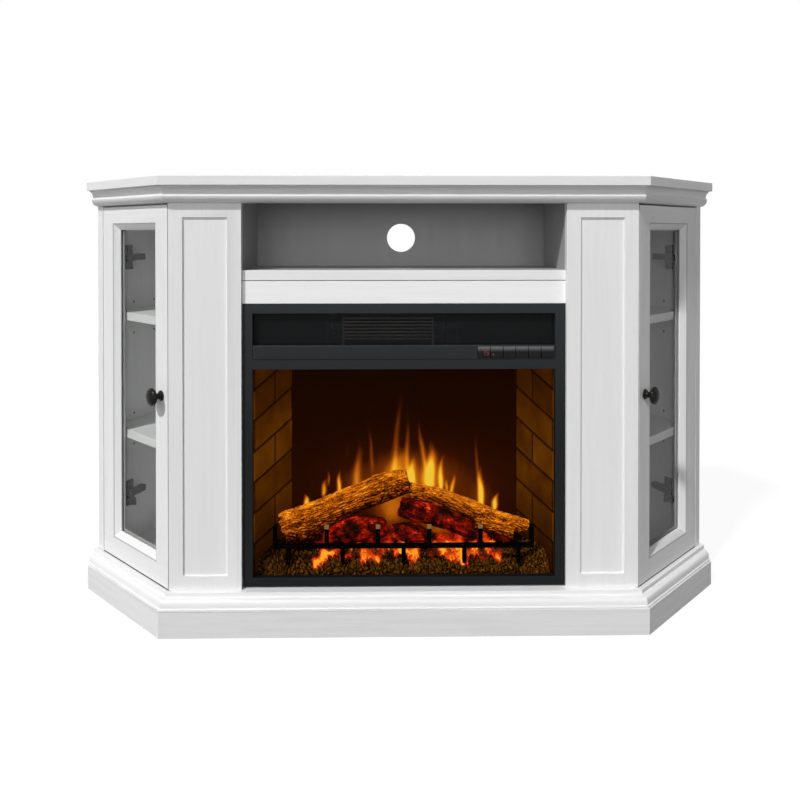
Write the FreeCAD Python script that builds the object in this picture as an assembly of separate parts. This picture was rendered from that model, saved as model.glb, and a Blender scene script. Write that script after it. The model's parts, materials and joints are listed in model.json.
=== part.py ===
import FreeCAD
import Part
import math
import os

Vector = FreeCAD.Vector

# Corner-style media stand with an electric fireplace: +X right, the front faces -Y, +Z up,
# millimetres, origin on the floor at the middle of the outline.

# Whole stand
total_depth = 380.0
front_width = 864.0
corner_width = 194.0
corner_depth = 194.0
rear_width = 1116.0
overhang = 27.0
rear_overhang = 10.0
side_reveal = 4.3
board = 16.0
overrun = 5.0
snug = 0.3

# Top panel and crown moulding
top_thickness = 17.0
crown_height = 30.0
crown_projection = 21.0
crown_shares = [
    [(0.0, 0.0), (0.10, 0.0)],
    [(0.10, 0.0), (0.52, 0.106), (0.76, 0.37)],
    [(0.76, 0.37), (0.73, 0.47), (0.62, 0.53)],
    [(0.62, 0.53), (0.70, 0.78), (1.0, 0.94)],
    [(1.0, 0.94), (1.0, 1.0)],
    [(1.0, 1.0), (0.0, 1.0)],
    [(0.0, 1.0), (0.0, 0.0)],
]

# Plinth and its ovolo cap
plinth_height = 46.5
plinth_thickness = 16.0
cap_height = 25.5
cap_projection = 24.0
cap_fillet_height = 6.0
cap_fillet_projection = 9.0
outer_bearer_share = 0.86
bottom_thickness = 16.0

# Front of the carcass
bay_width = 581.0
pilaster_thickness = 16.0
field_border = 26.0
field_depth = 3.5
front_setback = 8.0
header_height = 41.4
niche_shelf_thickness = 18.6
niche_height = 150.0
niche_depth = 180.0
niche_back_thickness = 12.0
cable_hole_diameter = 57.0
cable_hole_rise = 56.6
rear_rail_height = 40.0
back_thickness = 4.0

# Hinge posts and doors
post_width = 20.5
post_depth = 46.0
latch_gap = 1.5
hinge_gap = 2.5
door_bottom_gap = 2.0
door_top_gap = 3.0
door_thickness = 18.0
stile_width = 42.0
bottom_rail_width = 38.0
top_rail_width = 32.5
bevel_width = 12.0
bevel_depth = 9.5
glass_lip = 2.0
rebate_width = 7.0
glass_thickness = 4.0
retainer_width = 9.0

# Knobs
knob_inset = 21.5
knob_projection = 27.0
knob_head_radius = 16.0
knob_neck_radius = 5.5
knob_base_radius = 9.5
knob_base_height = 3.5
knob_neck_height = 12.0
knob_rim_height = 18.0
knob_tip_radius = 2.0
knob_under_shares = (0.62, 0.50)
knob_crown_shares = (0.72, 0.92)

# Concealed hinges
hinge_inset = 100.0
pivot_inset = 24.0
pivot_depth = 9.0
cup_radius = 17.5
cup_depth = 13.5
cup_wall = 1.0
flange_radius = 20.0
flange_thickness = 1.0
hinge_pin_radius = 1.5
pin_clearance = 0.05
eye_radius = 2.8
arm_height = 12.0
arm_thickness = 3.5
elbow_reach = 30.0
plate_height = 50.0
plate_width = 20.0
plate_thickness = 3.0
plate_start = 3.0
arm_length = 52.0
arm_rise = 12.0

# Door catches
catch_height = 44.0
catch_inset = 60.0
catch_length = 26.0
catch_reach = 15.0
catch_thickness = 12.0

# Shelves and their pins
shelf_thickness = 16.0
shelf_gap = 1.0
shelf_setback = 4.0
upper_shelf_rise = 481.0
lower_shelf_rise = 249.5
shelf_pin_radius = 2.5
shelf_pin_depth = 8.0
shelf_pin_stand = 9.0
pin_hole_clearance = 0.1
pin_hole_pitch = 32.0
pin_front_inset = 30.0
pin_rear_inset = 40.0

# Fireplace insert: frame, window and control ledge
insert_floor_gap = 2.6
insert_side_gap = 0.5
frame_depth = 12.0
frame_border = 18.0
frame_bottom = 15.5
air_opening_height = 57.0
ledge_height = 24.6
ledge_proud = 2.0
window_height = 374.5
window_head = 18.8
window_lap = 8.0
window_thickness = 4.0
mesh_thickness = 1.2
mesh_columns = 46
mesh_rows = 6
mesh_solid_share = 0.28
ledge_flange = 4.0
ledge_flange_thickness = 3.0

# Control keys
key_count = 6
key_width = 21.9
key_height = 19.9
key_gap = 1.0
key_end_inset = 3.5
key_proud = 1.2
key_depth = 9.0
key_stem = 4.0
key_travel = 1.5
board_thickness = 1.6

# Insert housing and what it holds
sheet = 2.0
housing_side_gap = 6.5
housing_top_gap = 3.0
housing_depth = 178.0
firebox_depth = 130.0
firebox_back_half = 221.0
ceiling_gap = 8.0
screen_thickness = 3.0
brick_thickness = 8.0
ember_height = 36.0
ember_crown = 12.0
ember_wall = 6.0
ember_half_width = 214.0
lamp_width = 12.0
lamp_height = 6.0

# Logs and grate
log_radius = 36.0
log_rise = 150.0
log_shares = [
    [(-1.04, 0.25, 0.31), (0.05, 0.75, 0.92), (1.0, 0.88)],
    [(0.06, 0.8, 0.82), (1.07, 0.2, 0.35), (0.70, 0.62)],
    [(0.40, 0.9, 0.14), (0.92, 0.1, 0.27), (0.66, 0.60)],
    [(-0.72, 0.9, 0.14), (0.05, 0.2, 0.12), (0.68, 0.62)],
    [(-0.08, 0.9, 0.56), (0.66, 0.3, 0.16), (0.66, 0.60)],
]
grate_bar = 8.0
grate_half_width = 240.0
grate_rise = 20.0
grate_post_rise = 42.0
grate_front_inset = 12.0
grate_post_count = 6
grate_leg_shares = (-0.883, -0.467, 0, 0.467, 0.883)

# Heater, blower and flame rotor
heater_width = 166.0
heater_height = 40.0
heater_depth = 18.0
heater_bar = 3.0
heater_bar_count = 7
heater_offset = -29.0
blower_radius = 22.0
blower_length = 210.0
blower_blade_count = 18
blade_thickness = 1.2
blade_root_share = 0.6
shaft_radius = 3.0
shaft_clearance = 0.05
bearing_thickness = 6.0
blower_gap = 4.0
motor_radius = 19.0
motor_length = 26.0
rotor_radius = 13.0
rotor_length = 380.0
rotor_fin_count = 14
rotor_rise = 60.0
inlet_width = 48.0
inlet_height = 28.0
inlet_depth = 26.0
inlet_rise = 150.0
inlet_flange = 5.0
inlet_inset = 60.0

# Places worked out from the sizes above
floor_z = plinth_height + cap_height
insert_z = floor_z + insert_floor_gap
window_z = insert_z + frame_bottom
window_top = window_z + window_height
ledge_z = window_top + window_head
ledge_top = ledge_z + ledge_height
air_top = ledge_top + air_opening_height
header_z = air_top + frame_border
shelf_z = header_z + header_height
niche_z = shelf_z + niche_shelf_thickness
ceiling_z = niche_z + niche_height
total_height = ceiling_z + top_thickness
crown_z = ceiling_z - crown_height
front_y = -total_depth / 2
face_y = front_y + overhang
back_y = total_depth / 2 - rear_overhang
panel_rear = back_y - back_thickness
bay_half = bay_width / 2
inner_y = face_y + front_setback
niche_back_y = inner_y + niche_depth
divider_face = bay_half + board

front_start = Vector(front_width / 2, front_y, 0)
wide_start = Vector(front_width / 2 + corner_width, front_y + corner_depth, 0)
rear_start = Vector(rear_width / 2, total_depth / 2, 0)
along = (wide_start - front_start).normalize()
outward = Vector(along.y, -along.x, 0)
side_along = (rear_start - wide_start).normalize()
side_outward = Vector(side_along.y, -side_along.x, 0)
rightward = Vector(1, 0, 0)
forward = Vector(0, -1, 0)
upward = Vector(0, 0, 1)


def meet(p, d, q, e):
    """Point where the plan line through p along d meets the one through q along e."""
    gap = q - p
    s = (gap.x * e.y - gap.y * e.x) / (d.x * e.y - d.y * e.x)
    return p + d * s


def front_corner(inset):
    """Right front corner of the outline moved in by inset."""
    return meet(Vector(0, front_y + inset, 0), rightward, front_start - outward * inset, along)


def wide_corner(inset, side_inset):
    """Right widest corner of the outline, moved in by inset and side_inset."""
    return meet(front_start - outward * inset, along, wide_start - side_outward * side_inset, side_along)


face_corner = front_corner(overhang)
face_length = (wide_corner(overhang, side_reveal) - face_corner).Length
post_start = face_length - post_width
door_end = post_start - hinge_gap
door_z = floor_z + door_bottom_gap
door_top = crown_z - door_top_gap
hinge_heights = [door_z + hinge_inset, door_top - hinge_inset]
shelf_tops = [floor_z + lower_shelf_rise, floor_z + upper_shelf_rise]


def on_face(length, out):
    """Plan point on the right angled face, length along it from the pilaster, out from it."""
    return face_corner + along * length + outward * out


def at_hinge(u, v):
    """Plan point by the right door's hinge edge, u towards its free edge and v outwards."""
    return on_face(door_end - u, v)


side_inner_start = on_face(post_start, -post_depth)
side_outer_start = meet(on_face(0, -post_depth), along, side_inner_start + side_outward * board, side_along)
side_inner_end = meet(side_inner_start, side_along, Vector(0, panel_rear, 0), rightward)
side_outer_end = meet(side_outer_start, side_along, Vector(0, panel_rear, 0), rightward)


def by_side(s, h):
    """Plan point by the right side panel's inner face, s back from the post and h into the cabinet."""
    return side_inner_start + side_along * s - side_outward * h


def prism(points, z0, z1):
    """Upright prism on a closed plan outline."""
    base = [Vector(p.x, p.y, z0) for p in points + points[:1]]
    return Part.Face(Part.makePolygon(base)).extrude(upward * (z1 - z0))


def box(x0, x1, y0, y1, z0, z1):
    """Box between two values on each axis."""
    return Part.makeBox(x1 - x0, y1 - y0, z1 - z0, Vector(x0, y0, z0))


def mirrored(shape):
    """The left-hand copy of a right-hand piece."""
    return shape.mirror(Vector(0, 0, 0), rightward)


def save(name, *shapes):
    """Write one piece, or a group of separate solids, as a file of that name."""
    solids = [solid for shape in shapes for solid in shape.Solids]
    body = solids[0] if len(solids) == 1 else Part.makeCompound(solids)
    body.exportStep("parts/" + name + ".step")


def save_pair(name, shape):
    """Write a right-hand piece and its left-hand copy."""
    save("right_" + name, shape)
    save("left_" + name, mirrored(shape))


def stood_profile(outline, origin, out):
    """Face of lines and arcs given as (projection, height), stood up at origin along out."""
    edges = []
    for step in outline:
        points = [origin + out * p + upward * z for p, z in step]
        if len(points) == 2:
            edges.append(Part.LineSegment(*points).toShape())
        else:
            edges.append(Part.Arc(*points).toShape())
    return Part.Face(Part.Wire(edges))


def mitred_run(outline, projection, end_reveal):
    """A moulding round the front and both angled faces, as three mitred solids."""
    tops = [z for step in outline for p, z in step]
    low = min(tops) - overrun
    high = max(tops) + overrun
    inner_front = front_corner(overhang)
    outer_front = front_corner(overhang - projection)
    inner_wide = wide_corner(overhang, end_reveal)
    outer_wide = wide_corner(overhang - projection, end_reveal)
    reach = outer_wide.Length
    start = Vector(-reach, face_y, 0)
    front = stood_profile(outline, start, forward).extrude(rightward * (reach + reach))
    wedge = [Vector(-p.x, p.y, 0) for p in (inner_front, outer_front)] + [outer_front, inner_front]
    front = front.common(prism(wedge, low, high))
    side = stood_profile(outline, on_face(-reach, 0), outward).extrude(along * (reach + reach))
    side = side.common(prism([inner_front, outer_front, outer_wide, inner_wide], low, high))
    return [front, side, mirrored(side)]


def top_panel():
    """Plain slab with angled sides and tapered rear."""
    right = [front_start, wide_start, rear_start]
    left = [Vector(-p.x, p.y, 0) for p in reversed(right)]
    return prism(right + left, ceiling_z, total_height)


def crown():
    """Cove and bead moulding under the slab."""
    outline = [[(p * crown_projection, crown_z + z * crown_height) for p, z in step] for step in crown_shares]
    return mitred_run(outline, crown_projection, side_reveal)


def base_cap():
    """Ovolo with a fillet above it, on top of the plinth."""
    ovolo_run = cap_projection - cap_fillet_projection
    ovolo_rise = cap_height - cap_fillet_height
    diagonal = math.sqrt(0.5)
    shoulder = (cap_fillet_projection, plinth_height + ovolo_rise)
    belly = (cap_fillet_projection + ovolo_run * diagonal, plinth_height + ovolo_rise * diagonal)
    outline = [
        [(0, plinth_height), (cap_projection, plinth_height)],
        [(cap_projection, plinth_height), belly, shoulder],
        [shoulder, (cap_fillet_projection, floor_z)],
        [(cap_fillet_projection, floor_z), (0, floor_z)],
        [(0, floor_z), (0, plinth_height)],
    ]
    return mitred_run(outline, cap_projection, 0)


def plinth_boards():
    """Three mitred skirting boards."""
    inner = overhang - plinth_thickness
    outline = [
        [(inner, 0), (overhang, 0)],
        [(overhang, 0), (overhang, plinth_height)],
        [(overhang, plinth_height), (inner, plinth_height)],
        [(inner, plinth_height), (inner, 0)],
    ]
    return mitred_run(outline, overhang, 0)


def bearer_plan(x, inset):
    """Plan of a board along Y at x, its front end fitted to the outline moved in by inset."""
    sides = [Vector(x - board / 2, 0, 0), Vector(x + board / 2, 0, 0)]
    fronts = [meet(p, forward, front_start - outward * inset, along) for p in sides]
    fronts = [Vector(p.x, max(p.y, front_y + inset), 0) for p in fronts]
    return fronts + [Vector(p.x, back_y - board, 0) for p in reversed(sides)]


def plinth_bearers():
    """Rear board and four boards front to back, notched under the cap, which carry the bottom panel."""
    rear_half = side_outer_end.x
    top = floor_z - bottom_thickness
    boards = [box(-rear_half, rear_half, back_y - board, back_y, 0, top)]
    for x in (bay_half + board / 2, rear_half * outer_bearer_share):
        toe = prism(bearer_plan(x, plinth_thickness), 0, plinth_height)
        piece = toe.fuse(prism(bearer_plan(x, overhang), 0, top)).removeSplitter()
        boards += [piece, mirrored(piece)]
    return boards


def bottom_panel():
    """Floor of the cabinet, on the outline of the uprights."""
    rear = Vector(side_outer_end.x, back_y, 0)
    right = [face_corner, on_face(face_length, 0), on_face(face_length, -post_depth), side_outer_start, rear]
    left = [Vector(-p.x, p.y, 0) for p in reversed(right)]
    return prism(right + left, floor_z - bottom_thickness, floor_z)


def pilaster():
    """Front upright with a sunk field, its outer edge cut square to the door."""
    rear_y = face_y + pilaster_thickness
    edge = meet(face_corner, outward, Vector(0, rear_y, 0), rightward)
    outline = [Vector(bay_half, face_y, 0), face_corner, edge, Vector(bay_half, rear_y, 0)]
    body = prism(outline, floor_z, ceiling_z)
    left = bay_half + field_border
    right = face_corner.x - field_border
    low = floor_z + field_border
    high = crown_z - field_border
    return body.cut(box(left, right, face_y - overrun, face_y + field_depth, low, high))


def top_rails():
    """Rails behind the crown: across the niche, over each door, and one at the rear."""
    front = box(-bay_half, bay_half, face_y, face_y + pilaster_thickness, crown_z, ceiling_z)
    plan = [on_face(0, 0), on_face(post_start, 0), on_face(post_start, -board), on_face(0, -board)]
    side = prism(plan, crown_z, ceiling_z)
    rear = box(-bay_half, bay_half, panel_rear - board, panel_rear, ceiling_z - rear_rail_height, ceiling_z)
    return [front, side, mirrored(side), rear]


def niche_back():
    """Back of the open niche, with the round hole for cables."""
    rear_y = niche_back_y + niche_back_thickness
    panel = box(-bay_half, bay_half, niche_back_y, rear_y, niche_z, ceiling_z)
    start = Vector(0, niche_back_y - overrun, niche_z + cable_hole_rise)
    length = niche_back_thickness + overrun + overrun
    return panel.cut(Part.makeCylinder(cable_hole_diameter / 2, length, start, -forward))


def pin_heights(top):
    """Three hole heights for one shelf: the middle one carries it."""
    middle = top - shelf_thickness - shelf_pin_radius
    return [middle - pin_hole_pitch, middle, middle + pin_hole_pitch]


def pin_rows():
    """Places of the two pin columns on the right divider and on the right side panel."""
    first_y = face_y + pilaster_thickness + pin_front_inset
    side_length = (side_inner_end - side_inner_start).Length
    rows = [(Vector(divider_face, y, 0), -rightward) for y in (first_y, panel_rear - pin_rear_inset)]
    rows += [(by_side(s, 0), side_outward) for s in (pin_front_inset, side_length - pin_rear_inset)]
    return rows


def pin_holes(rows):
    """Blind holes for the shelf pins in one upright."""
    radius = shelf_pin_radius + pin_hole_clearance
    holes = []
    for place, inward in rows:
        for top in shelf_tops:
            for z in pin_heights(top):
                holes.append(Part.makeCylinder(radius, shelf_pin_depth, place + upward * z, inward))
    return Part.makeCompound(holes)


def divider():
    """Upright between the fireplace bay and the right cabinet."""
    panel = box(bay_half, divider_face, face_y + pilaster_thickness, panel_rear, floor_z, ceiling_z)
    return panel.cut(pin_holes(pin_rows()[:2]))


def side_panel():
    """Outer upright of the right cabinet, behind the hinge post."""
    plan = [side_inner_start, side_outer_start, side_outer_end, side_inner_end]
    return prism(plan, floor_z, ceiling_z).cut(pin_holes(pin_rows()[2:]))


def hinge_post():
    """Narrow upright that the right door hangs beside."""
    plan = [on_face(post_start, 0), on_face(face_length, 0)]
    plan += [on_face(face_length, -post_depth), on_face(post_start, -post_depth)]
    return prism(plan, floor_z, ceiling_z)


def shelf(top):
    """Loose shelf of the right cabinet, its front close behind the door and cut back by the hinges."""
    left = Vector(divider_face + shelf_gap, 0, 0)
    rear = Vector(0, panel_rear - shelf_gap, 0)
    clear = Vector(0, face_y + pilaster_thickness + shelf_gap, 0)
    side = by_side(0, shelf_gap)
    end = on_face(post_start - shelf_gap, 0)
    swing = math.hypot(pivot_inset, door_thickness - pivot_depth) + shelf_gap
    front = at_hinge(pivot_inset + swing, -door_thickness - shelf_setback)
    notch = at_hinge(pivot_inset + swing / 2, -pivot_depth - swing)
    plan = [meet(left, forward, clear, rightward), meet(front, along, clear, rightward), front, notch]
    plan += [meet(notch, along, end, outward), meet(end, outward, side, side_along)]
    plan += [meet(side, side_along, rear, rightward), meet(rear, rightward, left, forward)]
    return prism(plan, top - shelf_thickness, top)


def shelf_pins():
    """Pins under the four shelves."""
    pins = []
    length = shelf_pin_depth + shelf_pin_stand
    for place, inward in pin_rows():
        for top in shelf_tops:
            start = place - inward * shelf_pin_stand + upward * pin_heights(top)[1]
            pin = Part.makeCylinder(shelf_pin_radius, length, start, inward)
            pins += [pin, mirrored(pin)]
    return pins


def rail_insets(change):
    """Widths of the bottom and top rail, both grown by change."""
    return bottom_rail_width + change, top_rail_width + change


def door_ring(edge_inset, rails, depth0, depth1):
    """Upright slab in the right door's plane, moved in from its edges, between two depths."""
    low = latch_gap + edge_inset
    high = door_end - edge_inset
    plan = [on_face(low, -depth0), on_face(high, -depth0), on_face(high, -depth1), on_face(low, -depth1)]
    return prism(plan, door_z + rails[0], door_top - rails[1])


def door_bevel():
    """Sloped cutter for the frame's inner edge, widest at the face."""
    grow = bevel_width / bevel_depth * overrun
    rects = []
    for depth, widen in ((-overrun, bevel_width + grow), (bevel_depth, 0)):
        edge = stile_width + bevel_width - widen
        rails = rail_insets(bevel_width - widen)
        ends = [on_face(latch_gap + edge, -depth), on_face(door_end - edge, -depth)]
        low = [p + upward * (door_z + rails[0]) for p in ends]
        high = [p + upward * (door_top - rails[1]) for p in reversed(ends)]
        rects.append(Part.makePolygon(low + high + low[:1]))
    return Part.makeLoft(rects, True, True)


def cup_bore(z, radius, depth0, depth1):
    """Cylinder square to the right door on a hinge cup's axis, between two depths."""
    start = at_hinge(pivot_inset, -depth1) + upward * z
    return Part.makeCylinder(radius, depth1 - depth0, start, outward)


def door_frame():
    """Right door's frame: bevelled opening, rebate for the glass and two cup pockets."""
    rebate_depth = bevel_depth + glass_lip
    stile = stile_width + bevel_width
    rails = rail_insets(bevel_width)
    frame = door_ring(0, (0, 0), 0, door_thickness)
    frame = frame.cut(door_ring(stile, rails, -overrun, door_thickness + overrun)).cut(door_bevel())
    rails = rail_insets(bevel_width - rebate_width)
    rebate = door_ring(stile - rebate_width, rails, rebate_depth, door_thickness + overrun)
    frame = frame.cut(rebate)
    for z in hinge_heights:
        frame = frame.cut(cup_bore(z, cup_radius, door_thickness - cup_depth, door_thickness + overrun))
    return frame


def door_glass():
    """Pane in the rebate of the right door."""
    front = bevel_depth + glass_lip
    edge = stile_width + bevel_width - rebate_width + snug
    rails = rail_insets(bevel_width - rebate_width + snug)
    return door_ring(edge, rails, front, front + glass_thickness)


def glass_retainer():
    """Strip round the back of the right door's pane."""
    front = bevel_depth + glass_lip + glass_thickness
    edge = stile_width + bevel_width - rebate_width
    change = bevel_width - rebate_width
    ring = door_ring(edge, rail_insets(change), front, door_thickness)
    rails = rail_insets(change + retainer_width)
    return ring.cut(door_ring(edge + retainer_width, rails, front - overrun, door_thickness + overrun))


def knob():
    """Mushroom knob on the right door's free stile, turned about its own axis."""
    middles = []
    for radius_share, height_share in (knob_under_shares, knob_crown_shares):
        middles.append((knob_head_radius * radius_share, knob_projection * height_share))
    under_mid, crown_mid = middles
    rim = (knob_head_radius, knob_rim_height)
    outline = [
        [(0, 0), (knob_base_radius, 0)],
        [(knob_base_radius, 0), (knob_base_radius, knob_base_height)],
        [(knob_base_radius, knob_base_height), (knob_neck_radius, knob_base_height)],
        [(knob_neck_radius, knob_base_height), (knob_neck_radius, knob_neck_height)],
        [(knob_neck_radius, knob_neck_height), under_mid, rim],
        [rim, crown_mid, (knob_tip_radius, knob_projection)],
        [(knob_tip_radius, knob_projection), (0, knob_projection)],
        [(0, knob_projection), (0, 0)],
    ]
    face = stood_profile(outline, Vector(0, 0, 0), rightward)
    turned = face.revolve(Vector(0, 0, 0), upward, 360)
    place = on_face(latch_gap + knob_inset, 0) + upward * ((door_z + door_top) / 2)
    turned.Placement = FreeCAD.Placement(place, FreeCAD.Rotation(upward, outward))
    return turned


def hinge_cup(z):
    """Cup let into the right door, with its flange and the cross pin that the arm turns on."""
    bottom = door_thickness - cup_depth
    cup = cup_bore(z, cup_radius - pin_clearance, bottom, door_thickness)
    cup = cup.fuse(cup_bore(z, flange_radius, door_thickness, door_thickness + flange_thickness))
    inner = cup_radius - pin_clearance - cup_wall
    cup = cup.cut(cup_bore(z, inner, bottom + cup_wall, door_thickness + overrun))
    start = at_hinge(pivot_inset, -pivot_depth) + upward * (z - inner - cup_wall / 2)
    pin = Part.makeCylinder(hinge_pin_radius, inner + inner + cup_wall, start, upward)
    return cup.fuse(pin)


def hinge_arm(z):
    """Fixed half of a concealed hinge: wing plate on the side panel and cranked arm to the cup."""
    plate = prism(
        [by_side(plate_start, 0), by_side(plate_start + plate_width, 0),
         by_side(plate_start + plate_width, plate_thickness), by_side(plate_start, plate_thickness)],
        z - plate_height / 2, z + plate_height / 2)
    low = z - arm_height / 2
    high = z + arm_height / 2
    body = prism(
        [by_side(plate_start, 0), by_side(arm_length, 0),
         by_side(arm_length, arm_rise), by_side(plate_start, arm_rise)], low, high)
    pivot = at_hinge(pivot_inset, -pivot_depth)
    lean = (along * -1 - outward).normalize()
    across = Vector(lean.y, -lean.x, 0) * (arm_thickness / 2)
    elbow = at_hinge(pivot_inset + elbow_reach, -pivot_depth - elbow_reach)
    heel = by_side(plate_start + arm_thickness, arm_rise / 2)
    nose = prism([pivot + across, elbow + across, elbow - across, pivot - across], low, high)
    reach = (elbow - heel).normalize()
    beside = Vector(reach.y, -reach.x, 0) * (arm_thickness / 2)
    crank = prism([heel + beside, elbow + beside, elbow - beside, heel - beside], low, high)
    bend = Part.makeCylinder(arm_thickness / 2, arm_height, elbow + upward * low, upward)
    eye = Part.makeCylinder(eye_radius, arm_height, pivot + upward * low, upward)
    arm = plate.fuse([body, crank, bend, nose, eye]).removeSplitter()
    start = pivot + upward * (low - overrun)
    bore = Part.makeCylinder(hinge_pin_radius + pin_clearance, arm_height + overrun + overrun, start, upward)
    return arm.cut(bore)


def door_catch():
    """Magnet catch on the back of the right pilaster, just behind the door's free edge."""
    rear_y = face_y + pilaster_thickness
    edge = meet(face_corner, outward, Vector(0, rear_y, 0), rightward)
    tab = Vector(edge.x - catch_length, rear_y, 0)
    stop = door_thickness + snug
    plan = [tab, edge, on_face(latch_gap, -stop), on_face(catch_reach, -stop)]
    plan += [on_face(catch_reach, -stop - catch_thickness), tab - forward * catch_thickness]
    high = door_top - catch_inset
    return prism(plan, high - catch_height, high)


def save_cabinet():
    """Everything of the wooden stand that stays put."""
    save("top_panel", top_panel())
    save("crown_moulding", *crown())
    save("base_cap", *base_cap())
    save("plinth_boards", *plinth_boards())
    save("plinth_bearers", *plinth_bearers())
    save("bottom_panel", bottom_panel())
    save_pair("pilaster", pilaster())
    save("top_rails", *top_rails())
    header_rear = inner_y + board
    save("header_rail", box(-bay_half, bay_half, inner_y, header_rear, header_z, shelf_z))
    niche_rear = niche_back_y + niche_back_thickness
    save("niche_shelf", box(-bay_half, bay_half, inner_y, niche_rear, shelf_z, niche_z))
    save("niche_back_panel", niche_back())
    save_pair("divider", divider())
    save_pair("side_panel", side_panel())
    post = hinge_post()
    save("hinge_posts", post, mirrored(post))
    back = box(bay_half, side_outer_end.x, panel_rear, back_y, floor_z, ceiling_z)
    save("back_panels", back, mirrored(back))
    save_pair("lower_shelf", shelf(shelf_tops[0]))
    save_pair("upper_shelf", shelf(shelf_tops[1]))
    save("shelf_pins", *shelf_pins())
    arms = [hinge_arm(z) for z in hinge_heights]
    save("hinge_arms", *arms, *[mirrored(arm) for arm in arms])
    catch = door_catch()
    save("door_catches", catch, mirrored(catch))


def save_doors():
    """Both glazed doors, each in its own pieces."""
    save_pair("door_frame", door_frame())
    save_pair("door_glass", door_glass())
    save_pair("glass_retainer", glass_retainer())
    save_pair("door_knob", knob())
    cups = [hinge_cup(z) for z in hinge_heights]
    save("right_hinge_cups", *cups)
    save("left_hinge_cups", *[mirrored(cup) for cup in cups])


# Places inside the fireplace insert
frame_half = bay_half - insert_side_gap
opening_half = frame_half - frame_border
frame_rear = inner_y + frame_depth
housing_half = bay_half - housing_side_gap
housing_top = header_z - housing_top_gap
housing_rear = frame_rear + housing_depth
room_half = housing_half - sheet
room_floor = floor_z + sheet
room_rear = housing_rear - sheet
firebox_front = frame_rear + window_thickness + snug
firebox_rear = firebox_front + firebox_depth
firebox_top = window_top + ceiling_gap
deck_z = firebox_top + sheet
ember_rear = firebox_rear - snug
ember_top = room_floor + ember_height


def insert_frame():
    """Front frame with one opening for air and controls and one for the window."""
    frame = box(-frame_half, frame_half, inner_y, frame_rear, insert_z, header_z)
    near = inner_y - overrun
    far = frame_rear + overrun
    frame = frame.cut(box(-opening_half, opening_half, near, far, ledge_z, air_top))
    return frame.cut(box(-opening_half, opening_half, near, far, window_z, window_top))


def insert_housing():
    """Sheet-metal box behind the frame, open at the front, with the firebox ceiling welded in."""
    outer = box(-housing_half, housing_half, frame_rear, housing_rear, floor_z, housing_top)
    near = frame_rear - overrun
    room_top = housing_top - sheet
    low_room = box(-room_half, room_half, near, room_rear, room_floor, firebox_top)
    high_room = box(-room_half, room_half, near, room_rear, deck_z, room_top)
    notch = box(-room_half, room_half, near, firebox_front, room_floor, room_top)
    return outer.cut(low_room).cut(high_room).cut(notch).cut(power_inlet_body())


def power_inlet_body():
    """Socket body through the housing's rear wall."""
    x0 = housing_half - inlet_inset - inlet_width
    z0 = floor_z + inlet_rise
    return box(x0, x0 + inlet_width, room_rear - inlet_depth / 2, housing_rear, z0, z0 + inlet_height)


def power_inlet():
    """Inlet socket with a flange on the outside of the housing and a recess for a lead."""
    x0 = housing_half - inlet_inset - inlet_width
    z0 = floor_z + inlet_rise
    body = power_inlet_body()
    x1 = x0 + inlet_width
    z1 = z0 + inlet_height
    rim = inlet_flange
    face = housing_rear + sheet
    flange = box(x0 - rim, x1 + rim, housing_rear, face, z0 - rim, z1 + rim)
    bottom = room_rear - inlet_depth / 2 + sheet
    recess = box(x0 + rim, x1 - rim, bottom, face + overrun, z0 + rim, z1 - rim)
    return body.fuse(flange).cut(recess)


def air_mesh():
    """Pierced sheet behind the air opening."""
    half = opening_half + window_lap
    low = ledge_top + snug
    high = air_top + window_lap
    column = (opening_half + opening_half) / mesh_columns
    row = (air_top - ledge_top) / mesh_rows
    corners = [Vector(-half, frame_rear, low), Vector(half, frame_rear, low)]
    corners += [Vector(half, frame_rear, high), Vector(-half, frame_rear, high)]
    wires = [Part.makePolygon(corners + corners[:1])]
    for i in range(mesh_columns):
        for j in range(mesh_rows):
            x0 = -opening_half + column * (i + mesh_solid_share)
            z0 = ledge_top + row * (j + mesh_solid_share)
            x1 = -opening_half + column * (i + 1)
            z1 = ledge_top + row * (j + 1)
            hole = [Vector(x0, frame_rear, z0), Vector(x0, frame_rear, z1)]
            hole += [Vector(x1, frame_rear, z1), Vector(x1, frame_rear, z0)]
            wires.append(Part.makePolygon(hole + hole[:1]))
    return Part.Face(wires).extrude(forward * -mesh_thickness)


key_pitch = key_width + key_gap
keys_right = opening_half - key_end_inset
keys_left = keys_right - key_pitch * key_count + key_gap
key_z = ledge_z + (ledge_height - key_height) / 2
ledge_front = inner_y - ledge_proud
ledge_rear = frame_rear + ledge_flange_thickness


def control_panel():
    """Control ledge across the frame, with a rear flange and one window for the keys."""
    half = opening_half - snug
    bar = box(-half, half, ledge_front, frame_rear, ledge_z + snug, ledge_top - snug)
    flange_half = opening_half + window_lap
    flange_z = ledge_z - ledge_flange
    flange = box(-flange_half, flange_half, frame_rear, ledge_rear, flange_z, flange_z + ledge_height)
    window = box(keys_left - snug, keys_right + snug, ledge_front - overrun, ledge_rear + overrun,
                 key_z - snug, key_z + key_height + snug)
    return bar.fuse(flange).cut(window)


def control_key(index):
    """One push key with its stem, counted from the left."""
    x0 = keys_left + key_pitch * index
    front = ledge_front - key_proud
    cap = box(x0, x0 + key_width, front, front + key_depth, key_z, key_z + key_height)
    middle_x = x0 + key_width / 2
    middle_z = key_z + key_height / 2
    half = key_stem / 2
    near = front + key_depth
    far = ledge_rear - key_travel - snug
    stem = box(middle_x - half, middle_x + half, near, far, middle_z - half, middle_z + half)
    return cap.fuse(stem)


def control_board():
    """Circuit board on the back of the control ledge."""
    return box(keys_left - key_gap - window_lap, opening_half, ledge_rear, ledge_rear + board_thickness,
               ledge_z - ledge_flange, ledge_top - ledge_flange)


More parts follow.
